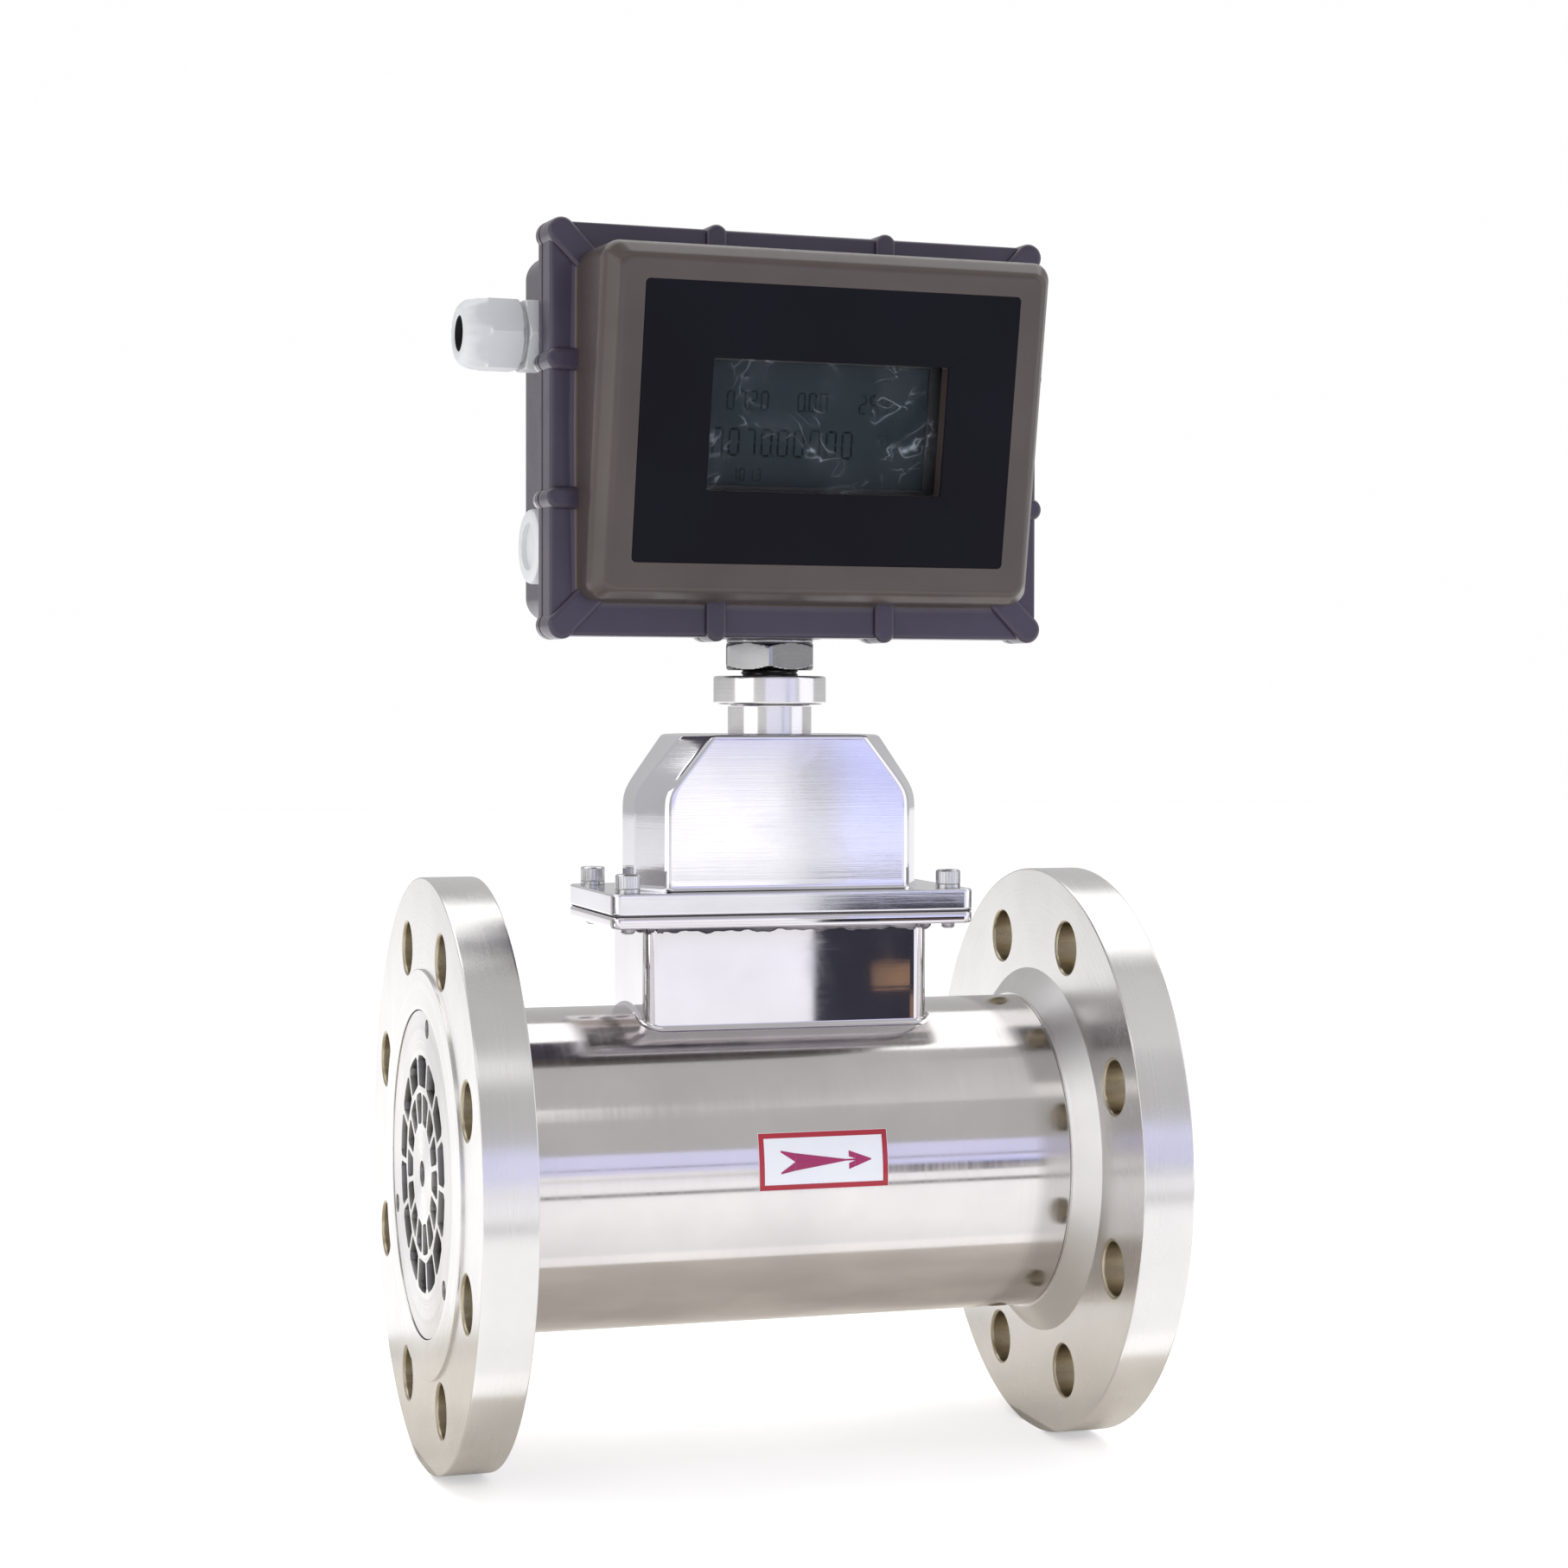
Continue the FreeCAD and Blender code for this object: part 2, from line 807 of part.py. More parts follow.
def flow_label():
    """Thin label bent round the side of the tube."""
    inner = d.tube_diameter.number / 2
    outer = inner + d.label_thickness.number
    start = d.label_start.number
    sweep = d.label_sweep.number
    low = d.label_low.number
    section = [Vector(start, -inner, 0), Vector(start, -outer, 0)]
    section += [Vector(start + d.label_length.number, -outer, 0)]
    section += [Vector(start + d.label_length.number, -inner, 0)]
    face = Part.Face(Part.makePolygon(section + section[:1]))
    face.rotate(Vector(0, 0, 0), Vector(1, 0, 0), -low)
    node = document.addObject("Part::Feature", "flow_label")
    node.Label = "flow_label"
    node.Shape = face.revolve(Vector(0, 0, 0), Vector(1, 0, 0), -sweep)
    return node


# ---- measuring cartridge ----

def disc_screw_turns():
    """Angles of the three disc screws from the top, positive towards the front."""
    return [d.disc_screw_turn + 120 * step for step in range(3)]


def groove_corners(middle, outer):
    """The corners of an O-ring groove in the outside of a turned piece, in order along X."""
    root = outer - d.o_ring_section - 0.05 + d.cartridge_play
    half = d.o_ring_groove / 2
    return [(middle - half, outer), (middle - half, root), (middle + half, root), (middle + half, outer)]


inlet_ring_place = disc_seat + d.o_ring_inset
outlet_ring_place = sleeve_end - d.o_ring_inset / 2


def grille_opening(sketch, inner, outer, middle):
    """One opening between two ribs, centred on the angle middle, with its outer corners cut."""
    half = 180 / d.grille_count
    cut = d.grille_corner

    def across_rib(reach):
        """A point on the rib's side, at a distance along the rib's centre line."""
        sideways = reach * sine(half) - d.grille_rib / 2 * cosine(half)
        return sideways, reach * cosine(half) + d.grille_rib / 2 * sine(half)

    rim = (outer * sine(half * 0.68), outer * cosine(half * 0.68))
    foot = (inner * sine(half * 0.5), inner * cosine(half * 0.5))
    side = [rim, across_rib(outer - cut), across_rib(inner + cut / 3), foot]
    mirrored = [(0 - x, y) for x, y in reversed(side)]
    shape = [(size_of(0), size_of(outer))] + side + mirrored
    turned_shape = []
    for x, y in shape:
        turned_shape.append((x * cosine(middle) + y * sine(middle), y * cosine(middle) - x * sine(middle)))
    outline(sketch, turned_shape)


def flow_straightener():
    """Grille disc with two rings of openings that run on as channels through its core."""
    core = d.cartridge_diameter / 2
    bolt_head = d.guide_bolt_head / 2 + d.screw_head_play
    corners = [
        (d.disc_setback, d.disc_diameter / 2),
        (disc_seat, d.disc_diameter / 2),
        (disc_seat, core),
        *groove_corners(inlet_ring_place, core),
        (straightener_end, core),
        (straightener_end, d.guide_bolt_shank / 2 + 0.1),
        (guide_bolt_seat, d.guide_bolt_shank / 2 + 0.1),
        (guide_bolt_seat, bolt_head),
        (d.disc_setback, bolt_head),
    ]
    body = turned("flow_straightener", corners)
    ring_step = 180 / d.grille_count
    outer = sketch_on(body, "YZ_Plane")
    grille_opening(outer, d.outer_ring_radius, d.cartridge_bore / 2, size_of(0))
    outer_cut = pocket(body, outer, midplane=True)
    round_pattern(body, outer_cut, d.grille_count, "X_Axis", -1)
    inner = sketch_on(body, "YZ_Plane")
    grille_opening(inner, d.grille_hub_radius, d.inner_ring_radius, ring_step)
    inner_cut = pocket(body, inner, midplane=True)
    round_pattern(body, inner_cut, d.grille_count, "X_Axis", -1)
    screws = sketch_on(body, "YZ_Plane", d.disc_setback)
    shanks = sketch_on(body, "YZ_Plane", d.disc_setback)
    for turn in disc_screw_turns():
        y = 0 - d.disc_screw_radius * sine(turn)
        z = d.disc_screw_radius * cosine(turn)
        circle(screws, y, z, d.disc_screw_hole / 2)
        circle(shanks, y, z, d.disc_screw_shank / 2 + 0.2)
    pocket(body, screws, d.disc_thickness - d.disc_screw_floor, backwards=True)
    pocket(body, shanks, d.disc_thickness + 0.5, backwards=True)
    return body


guide_bolt_seat = d.disc_setback + d.guide_bolt_seat


def straightener_screws():
    """Three small cap screws sunk in the disc."""
    master = cap_screw(
        "one_straightener_screw",
        d.disc_screw_hole - d.screw_head_play * 2,
        d.disc_screw_floor,
        d.disc_screw_shank,
        d.disc_screw_floor + d.disc_screw_thread,
        d.disc_screw_socket,
    )
    places = []
    head_place = disc_seat - d.disc_screw_floor
    for turn in disc_screw_turns():
        angle = math.radians(turn.number)
        y = -d.disc_screw_radius.number * math.sin(angle)
        z = d.disc_screw_radius.number * math.cos(angle)
        places.append(place_at(head_place, y, z, Rotation(Vector(0, 1, 0), -90)))
    return group("straightener_screws", master, places)


def guide_bolt():
    """The cap screw that ties the inlet guide to the straightener's hub."""
    bolt = cap_screw(
        "guide_bolt",
        d.guide_bolt_head,
        d.guide_bolt_head_height,
        d.guide_bolt_shank,
        d.guide_bolt_length,
        d.guide_bolt_socket,
    )
    bolt.Placement = place_at(guide_bolt_seat, 0, 0, Rotation(Vector(0, 1, 0), -90))
    return bolt


def cartridge_sleeve():
    outer = d.cartridge_diameter / 2
    corners = [
        (straightener_end, d.cartridge_bore / 2),
        (sleeve_end, d.cartridge_bore / 2),
        (sleeve_end, outer),
        *reversed(groove_corners(outlet_ring_place, outer)),
        (straightener_end, outer),
    ]
    body = turned("cartridge_sleeve", corners)
    diameters = (
        d.sensor_shank + d.sensor_play * 2,
        d.pressure_tap,
        d.probe_diameter + d.sensor_play * 2,
    )
    sensor_holes(body, diameters)
    return body


def guide_vanes(body, start, lead, end, inside):
    """Flat radial vanes round a guide, with a slanted leading edge."""
    tip = d.cartridge_bore / 2 - d.vane_play
    sketch = sketch_on(body, "XZ_Plane")
    outline(sketch, [(start, inside), (end, inside), (end, tip), (start + lead, tip)])
    vane = pad(body, sketch, d.vane_thickness, midplane=True)
    round_pattern(body, vane, d.vane_count, "X_Axis", 1)


def inlet_guide():
    """Nose cone and cylinder that lead the gas into the ring in front of the blades."""
    bolt_bore = d.guide_bolt_shank / 2 + 0.1
    bolt_end = guide_bolt_seat + d.guide_bolt_length + d.screw_tip_gap
    corners = [
        (straightener_end, bolt_bore),
        (straightener_end, d.grille_hub_radius),
        (straightener_end + d.nose_length, d.guide_radius),
        (guide_back, d.guide_radius),
        (guide_back, d.bearing_diameter / 2),
        (front_bearing, d.bearing_diameter / 2),
        (front_bearing, d.bearing_relief),
        (shaft_front - 2, d.bearing_relief),
        (shaft_front - 2, 0),
        (bolt_end, 0),
        (bolt_end, bolt_bore),
    ]
    body = turned("inlet_guide", corners)
    vane_start = straightener_end + 16
    guide_vanes(body, vane_start, 10, guide_back - 4, 15)
    return body


def outlet_guide():
    """Tail body behind the rotor: a recess for the magnet wheel, a bearing seat and a long cone."""
    parallel_end = tail_front + d.outlet_parallel
    tail_end = tail_front + d.outlet_guide_length
    corners = [
        (tail_front, d.guide_radius - d.wheel_recess_wall),
        (tail_front, d.guide_radius),
        (parallel_end, d.guide_radius),
        (tail_end - 3, d.tail_radius),
        (tail_end, d.tail_radius - 4),
        (tail_end, 0),
        (shaft_back + 2, 0),
        (shaft_back + 2, d.bearing_relief),
        (rear_seat_end, d.bearing_relief),
        (rear_seat_end, d.bearing_diameter / 2),
        (rear_bearing, d.bearing_diameter / 2),
        (rear_bearing, d.guide_radius - d.wheel_recess_wall),
    ]
    body = turned("outlet_guide", corners)
    guide_vanes(body, tail_front + 14, 6, tail_front + 56, 10)
    body.Placement = place_at(turn=Rotation(Vector(1, 0, 0), 180 / d.vane_count.number))
    return body


def turbine_rotor():
    """Hub with a web and a ring of twisted blades, trimmed to the sleeve's bore."""
    rim_inside = d.guide_radius - d.rotor_rim
    web_front = rotor_middle - d.rotor_web / 2
    boss = d.rotor_boss_radius
    bore = shaft_radius + 0.02
    corners = [
        (rotor_front, rim_inside),
        (rotor_front, d.guide_radius),
        (rotor_back, d.guide_radius),
        (rotor_back, rim_inside),
        (web_back, rim_inside),
        (web_back, boss),
        (boss_back, boss),
        (boss_back, bore),
        (boss_front, bore),
        (boss_front, boss),
        (web_front, boss),
        (web_front, rim_inside),
    ]
    body = turned("turbine_rotor", corners)
    tip = d.cartridge_bore / 2 - d.blade_tip_gap
    sections = [blade_section(body, rim_inside + 2.5), blade_section(body, tip + 2)]
    blade = loft(body, sections, 1)
    round_pattern(body, blade, d.blade_count, "X_Axis", 1)
    trim = sketch_on(body, "XZ_Plane")
    rectangle(trim, rotor_front - 1, rotor_back + 1, tip, tip + 12)
    groove(body, trim)
    return body


def blade_section(body, height):
    """Slanted blade outline at one height: its lean grows with the radius, as on a screw."""
    half = d.rotor_width / 2 - d.blade_margin
    slope = height / d.blade_pitch_radius
    lean = half * slope
    angle = Size(math.atan(slope.number), f"atan({slope.formula}) / 1 rad")
    wide = d.blade_thickness / 2 / cosine(Size(math.degrees(angle.number), f"atan({slope.formula})"))
    sketch = sketch_on(body, "XY_Plane", height)
    corners = [
        (rotor_middle - half, 0 - lean - wide),
        (rotor_middle + half, lean - wide),
        (rotor_middle + half, lean + wide),
        (rotor_middle - half, 0 - lean + wide),
    ]
    outline(sketch, corners)
    return sketch


def rotor_shaft():
    """Shaft with a collar between the front bearing and the rotor's boss."""
    collar_start = front_bearing + d.bearing_width
    collar = shaft_radius + 1.2
    corners = [
        (shaft_front, 0),
        (shaft_back, 0),
        (shaft_back, shaft_radius),
        (boss_front, shaft_radius),
        (boss_front, collar),
        (collar_start, collar),
        (collar_start, shaft_radius),
        (shaft_front, shaft_radius),
    ]
    return turned("rotor_shaft", corners)


def rotor_nut():
    """Thin nut that clamps the rotor against the shaft's collar."""
    nut = chamfered_nut("rotor_nut", d.rotor_nut_across, d.rotor_nut_height, d.shaft_diameter + 0.04)
    nut.Placement = place_at(boss_back, 0, 0, Rotation(Vector(0, 1, 0), 90))
    return nut


def magnet_wheel():
    """Wheel on the shaft behind the rotor; its magnets pass under the pickup."""
    nut_back = boss_back + d.rotor_nut_height
    wheel_radius = d.guide_radius - d.wheel_recess_wall - d.wheel_play
    boss = shaft_radius + 2.5
    bore = shaft_radius + 0.02
    corners = [
        (nut_back, bore),
        (nut_back, boss),
        (wheel_front, boss),
        (wheel_front, wheel_radius),
        (wheel_back, wheel_radius),
        (wheel_back, bore),
    ]
    body = turned("magnet_wheel", corners)
    sketch = sketch_on(body, "YZ_Plane", wheel_front)
    circle(sketch, 0, wheel_radius - d.magnet_diameter, d.magnet_diameter / 2 + 0.05)
    seat = pocket(body, sketch, d.magnet_thickness, backwards=True)
    round_pattern(body, seat, d.magnet_count, "X_Axis", -1)
    return body


def wheel_magnets():
    """Round magnets let into the front of the wheel."""
    wheel_radius = d.guide_radius - d.wheel_recess_wall - d.wheel_play
    body = new_body("wheel_magnets")
    sketch = sketch_on(body, "YZ_Plane", wheel_front)
    circle(sketch, 0, wheel_radius - d.magnet_diameter, d.magnet_diameter / 2)
    magnet = pad(body, sketch, d.magnet_thickness)
    round_pattern(body, magnet, d.magnet_count, "X_Axis", 1)
    return body


def shaft_bearings():
    bearing("front", front_bearing)
    bearing("rear", rear_bearing)


def bearing(side, start):
    """Outer race, inner race and balls of one shaft bearing."""
    end = start + d.bearing_width
    outer = d.bearing_diameter / 2
    outer_track = outer - d.outer_race_wall
    inner_track = shaft_radius + d.inner_race_wall
    turned(f"{side}_outer_race", ring_corners(start, end, outer_track, outer))
    turned(f"{side}_inner_race", ring_corners(start, end, shaft_radius + 0.01, inner_track))
    circle_radius = (outer_track + inner_track) / 2
    ball = document.addObject("Part::Sphere", f"one_{side}_ball")
    set_size(ball, "Radius", (outer_track - inner_track) / 2 - d.ball_play)
    document.recompute()
    places = []
    for step in range(int(d.ball_count.number)):
        angle = 2 * math.pi * step / d.ball_count.number
        y = circle_radius.number * math.cos(angle)
        z = circle_radius.number * math.sin(angle)
        places.append(place_at(start + d.bearing_width / 2, y, z))
    group(f"{side}_balls", ball, places)


def cartridge_rings():
    """The two O-rings that seal the cartridge in the flanges."""
    along_pipe = Rotation(Vector(0, 1, 0), 90)
    root = d.cartridge_diameter / 2 - d.o_ring_section - 0.05 + d.cartridge_play
    centre = root + 0.02 + d.o_ring_section / 2
    for label, place in (("inlet_o_ring", inlet_ring_place), ("outlet_o_ring", outlet_ring_place)):
        ring = torus(label, centre, d.o_ring_section, along_pipe)
        ring.Placement.Base.x = place.number


# ---- sensors ----


def sensor_bosses():
    """Three welded bosses on the top line of the tube."""
    body = new_body("sensor_bosses")
    for place in (pickup_place, pressure_place, temperature_place):
        sketch = sketch_on(body, "XY_Plane", d.tube_diameter / 2 - 5)
        circle(sketch, place, 0, d.boss_diameter / 2)
        circle(sketch, place, 0, d.sensor_shank / 2 + d.sensor_play)
        pad(body, sketch, d.boss_top - d.tube_diameter / 2 + 5)
    saddle_cut(body)
    return body


def saddle_cut(body):
    """Shape the underside of a piece to sit on the tube."""
    sketch = sketch_on(body, "XZ_Plane")
    rectangle(sketch, hub_end, d.face_to_face - hub_end, 0, d.tube_diameter / 2 + d.weld_gap)
    groove(body, sketch)


def sensor(label, place, sections):
    """A screwed-in sensor: sections are (radius, foot) steps of its body from the tip upwards."""
    corners = [(size_of(0), sections[0][1])]
    for (radius, low), (_, high) in zip(sections, sections[1:]):
        corners += [(radius, low), (radius, high)]
    corners.append((size_of(0), sections[-1][1]))
    body = turned(label, corners, "V_Axis")
    sketch = sketch_on(body, "XY_Plane", d.boss_top)
    hexagon(sketch, d.sensor_hex, turn=30)
    pad(body, sketch, d.sensor_hex_height)
    body.Placement = place_at(place)
    return body


def sensors():
    """Speed pickup over the blades, pressure sensor, and a temperature probe in the gas."""
    shank = d.sensor_shank / 2
    hex_top = d.boss_top + d.sensor_hex_height
    shank_foot = d.tube_bore / 2 + d.screw_tip_gap
    pickup_top = hex_top + d.pickup_body_height
    pickup = [
        (shank, d.pickup_tip),
        (d.pickup_body_diameter / 2, hex_top),
        (d.pickup_plug_diameter / 2, pickup_top),
        (d.pickup_plug_diameter / 2, pickup_top + d.sensor_plug_height),
    ]
    sensor("pickup_sensor", pickup_place, pickup)
    pressure_top = hex_top + d.pressure_body_height
    pressure = [
        (shank, shank_foot),
        (d.pressure_body_diameter / 2, hex_top),
        (d.pressure_plug_diameter / 2, pressure_top),
        (d.pressure_plug_diameter / 2, pressure_top + d.sensor_plug_height),
    ]
    sensor("pressure_sensor", pressure_place, pressure)
    probe = [
        (d.probe_diameter / 2, d.probe_tip),
        (shank, shank_foot),
        (d.temperature_head_diameter / 2, hex_top),
        (d.temperature_head_diameter / 2, hex_top + d.temperature_head_height),
    ]
    sensor("temperature_probe", temperature_place, probe)


# ---- pedestal and hood ----

plate_length = d.pedestal_length + d.plate_overhang_along * 2
plate_width = d.pedestal_width + d.plate_overhang_across * 2
hood_length = plate_length - d.hood_ledge_along * 2
hood_width = plate_width - d.hood_ledge_across * 2
hood_screw_spacing_along = plate_length - d.hood_screw_inset_along * 2
hood_screw_spacing_across = plate_width - d.hood_screw_inset_across * 2
pedestal_inside_length = d.pedestal_length - d.pedestal_wall * 2
pedestal_inside_width = d.pedestal_width - d.pedestal_wall * 2
plate_top = d.plate_underside + d.pedestal_plate_thickness
hood_bottom = plate_top + d.gasket_thickness
hood_flange_top = hood_bottom + d.hood_flange_thickness


def hood_screw_circles(sketch, diameter):
    for x_side in (-1, 1):
        for y_side in (-1, 1):
            x = d.neck_place + hood_screw_spacing_along / 2 * x_side
            circle(sketch, x, hood_screw_spacing_across / 2 * y_side, diameter / 2)


def level_edges(feature, height):
    """Edges that lie wholly at one height."""

    def lies_there(edge):
        box = edge.BoundBox
        return abs(box.ZMin - height.number) < 1e-4 and abs(box.ZMax - height.number) < 1e-4

    return edges_where(feature, lies_there)


def sensor_pedestal():
    """Rectangular welded box, open at the top, whose foot is cut to the tube."""
    body = new_body("sensor_pedestal")
    foot = d.tube_diameter / 2 - 12
    outside = sketch_on(body, "XY_Plane", foot)
    corner = d.pedestal_corner
    rounded_rectangle(outside, d.pedestal_length, d.pedestal_width, corner, d.neck_place)
    pad(body, outside, d.plate_underside - foot)
    inside = sketch_on(body, "XY_Plane", foot)
    centred_rectangle(inside, pedestal_inside_length, pedestal_inside_width, d.neck_place)
    pocket(body, inside, backwards=True)
    saddle_cut(body)
    return body


def pedestal_plate():
    """Flat plate welded on the pedestal, with tapped holes for the hood's screws."""
    body = new_body("pedestal_plate")
    sketch = sketch_on(body, "XY_Plane", d.plate_underside)
    rounded_rectangle(sketch, plate_length, plate_width, d.plate_corner, d.neck_place)
    plate = pad(body, sketch, d.pedestal_plate_thickness)
    edges = level_edges(plate, d.plate_underside) + level_edges(plate, plate_top)
    fillet(body, plate, edges, d.plate_edge)
    openings = sketch_on(body, "XY_Plane", d.plate_underside)
    centred_rectangle(openings, pedestal_inside_length, pedestal_inside_width, d.neck_place)
    hood_screw_circles(openings, d.hood_screw_diameter + 0.1)
    pocket(body, openings, backwards=True)
    return body


def plate_weld():
    """Weld bead in the corner between the pedestal's walls and the plate."""
    body = new_body("plate_weld")
    low = d.plate_underside - d.weld_leg
    sketch = sketch_on(body, "XY_Plane", low)
    leg = d.weld_leg
    corner = d.pedestal_corner
    length = d.pedestal_length
    width = d.pedestal_width
    rounded_rectangle(sketch, length + leg * 2, width + leg * 2, corner + leg, d.neck_place)
    bead = pad(body, sketch, leg)
    chamfer(body, bead, level_edges(bead, low), leg * 0.6)
    hole = sketch_on(body, "XY_Plane", low)
    rounded_rectangle(hole, length, width, corner, d.neck_place)
    pocket(body, hole, backwards=True)
    return body


def hood_gasket():
    body = new_body("hood_gasket")
    sketch = sketch_on(body, "XY_Plane", plate_top)
    inset = d.gasket_inset * 2
    centred_rectangle(sketch, plate_length - inset, plate_width - inset, d.neck_place)
    centred_rectangle(sketch, pedestal_inside_length, pedestal_inside_width, d.neck_place)
    hood_screw_circles(sketch, d.hood_screw_diameter + d.hood_screw_play * 2)
    pad(body, sketch, d.gasket_thickness)
    return body


def hood_section(body, height, length, width, along, across):
    """Outline of the hood at one height: long cut corners, each blunted by a short side."""
    sketch = sketch_on(body, "XY_Plane", height)
    x = length / 2
    y = width / 2
    blunt = d.hood_blunt
    part = blunt / (along + across)
    quarter = [
        (x, y - across - blunt),
        (x - along * part, y - across + across * part),
        (x - along + along * part, y - across * part),
        (x - along - blunt, y),
    ]
    left = [(0 - a, b) for a, b in reversed(quarter)]
    upper = quarter + left
    lower = [(a, 0 - b) for a, b in reversed(upper)]
    outline(sketch, [(d.neck_place + a, b) for a, b in upper + lower])
    return sketch


def hood_shell(body, inset, low, high, sign):
    """Loft from the flange to a shoulder, then in to the neck, with both edges blunted."""
    length = hood_length - inset * 2
    width = hood_width - inset * 2
    top_length = d.hood_top_length - inset * 2
    step = d.hood_blunt / 2
    lean = (length - top_length) * step / (high - d.hood_shoulder)
    along = d.hood_corner_along
    across = d.hood_corner_across
    top_along = d.hood_top_corner_along
    top_across = d.hood_top_corner_across
    sections = [
        hood_section(body, low, length, width, along, across),
        hood_section(body, d.hood_shoulder - step, length, width, along, across),
        hood_section(body, d.hood_shoulder + step, length - lean, width, along, across),
        hood_section(body, high - step, top_length + lean, width, top_along, top_across),
        hood_section(body, high, top_length - step, width - step, top_along, top_across),
    ]
    loft(body, sections, sign)


def sensor_hood():
    """Cast hood: a bolted flange, upright walls to a shoulder, then sides that lean in to the neck."""
    body = new_body("sensor_hood")
    base = sketch_on(body, "XY_Plane", hood_bottom)
    rounded_rectangle(base, plate_length, plate_width, d.plate_corner, d.neck_place)
    plate = pad(body, base, d.hood_flange_thickness)
    edges = level_edges(plate, hood_bottom) + level_edges(plate, hood_flange_top)
    chamfer(body, plate, edges, d.plate_edge / 2)
    hood_shell(body, 0, hood_bottom + 1, d.hood_top, 1)
    hood_shell(body, d.hood_wall, hood_bottom, d.hood_top - d.hood_roof, -1)
    holes = sketch_on(body, "XY_Plane", hood_bottom)
    hood_screw_circles(holes, d.hood_screw_diameter + d.hood_screw_play * 2)
    circle(holes, d.neck_place, 0, d.stem_diameter / 2 + d.stem_play)
    pocket(body, holes, backwards=True)
    return body


def hood_screw_places(height):
    places = []
    for x_side in (-1, 1):
        for y_side in (-1, 1):
            x = d.neck_place + hood_screw_spacing_along / 2 * x_side
            places.append(place_at(x, hood_screw_spacing_across / 2 * y_side, height))
    return places


def hood_fasteners():
    """Four cap screws on spring washers; their tails show under the plate."""
    grip = hood_flange_top - d.plate_underside + d.spring_washer + d.hood_screw_tail
    screw = cap_screw(
        "one_hood_screw",
        d.hood_screw_head,
        d.hood_screw_head_height,
        d.hood_screw_diameter,
        grip,
        4,
    )
    group("hood_screws", screw, hood_screw_places(hood_flange_top + d.spring_washer))
    washer = new_body("one_spring_washer")
    sketch = sketch_on(washer, "XY_Plane")
    circle(sketch, 0, 0, d.hood_screw_head / 2)
    circle(sketch, 0, 0, d.hood_screw_diameter / 2 + 0.1)
    split = sketch_on(washer, "XY_Plane")
    pad(washer, sketch, d.spring_washer)
    rectangle(split, 0, d.hood_screw_head, -0.4, 0.4)
    pocket(washer, split, backwards=True)
    group("hood_washers", washer, hood_screw_places(hood_flange_top))


# ---- neck ----

collar_bottom = d.hood_top + d.neck_height
collar_top = collar_bottom + d.collar_height
nut_bottom = collar_top + d.nut_lift
nut_top = nut_bottom + d.nut_height
washer_top = nut_top + d.nut_washer_thickness
stem_top = collar_top + d.stem_reach
stem_bottom = collar_top - d.stem_spigot


def at_neck(body):
    body.Placement = place_at(d.neck_place)
    return body


def neck_sleeve():
    """Turned neck with a wide collar, welded on the hood; its bore takes the stem."""
    neck = d.neck_diameter / 2
    collar = d.collar_diameter / 2
    edge = d.collar_edge
    bore = d.stem_diameter / 2 + d.stem_play
    corners = [
        (d.stem_bore / 2, d.hood_top),
        (neck, d.hood_top),
        (neck, collar_bottom),
        (collar - edge, collar_bottom),
        (collar, collar_bottom + edge),
        (collar, collar_top - edge),
        (collar - edge, collar_top),
        (bore, collar_top),
        (bore, stem_bottom),
        (d.stem_bore / 2, stem_bottom),
    ]
    return at_neck(turned("neck_sleeve", corners, "V_Axis"))


def swivel_stem():
    """Hollow threaded stem from the collar up into the head; the wires pass through it."""
    outer = d.stem_diameter / 2
    corners = [
        (d.stem_bore / 2, stem_bottom),
        (outer, stem_bottom),
        (outer, stem_top - 1),
        (outer - 1, stem_top),
        (d.stem_bore / 2, stem_top),
    ]
    return at_neck(turned("swivel_stem", corners, "V_Axis"))


def stem_nuts():
    """Lock nut under the head, its washer, and the nut that holds the stem inside the head."""
    bore = d.stem_diameter + d.stem_play * 2
    nut = chamfered_nut("stem_lock_nut", d.nut_across, d.nut_height, bore)
    nut.Placement = place_at(d.neck_place, 0, nut_bottom, Rotation(Vector(0, 0, 1), d.nut_turn.number))
    washer = turned(
        "stem_washer",
        [
            (bore / 2, nut_top),
            (d.nut_washer_diameter / 2, nut_top),
            (d.nut_washer_diameter / 2, washer_top),
            (bore / 2, washer_top),
        ],
        "V_Axis",
    )
    at_neck(washer)
    inner = chamfered_nut("stem_inner_nut", d.nut_across, d.inner_nut_height, bore)
    inner.Placement = place_at(d.neck_place, 0, housing_floor + d.swivel_gap)


# ---- head ----

housing_half_length = d.head_length / 2 - d.rim_overhang
housing_half_tall = d.head_tall / 2 - d.rim_overhang
boss_bottom = washer_top + d.swivel_gap
head_height = boss_bottom + d.housing_boss_length + housing_half_tall
housing_floor = head_height - housing_half_tall + d.housing_wall
cover_back = d.head_depth_front - d.cover_rim
housing_front = cover_back - d.housing_gasket_thickness
face_place = d.head_depth_front + d.bezel_reach


def in_head(body, x=0, y=0, z=0, tilt=0):
    """Place a body drawn about the head's centre: X to its right, -Y out of its front."""
    about_neck = place_at(d.neck_place, turn=Rotation(Vector(0, 0, 1), d.head_yaw.number))
    turn = Rotation(Vector(1, 0, 0), number_of(tilt))
    body.Placement = about_neck.multiply(place_at(x, y, head_height + z, turn))
    return body


def on_face(body):
    """Place a body drawn about the tilted face's centre, with +Y into the head."""
    return in_head(body, 0, 0 - face_place, 0, d.bezel_tilt)


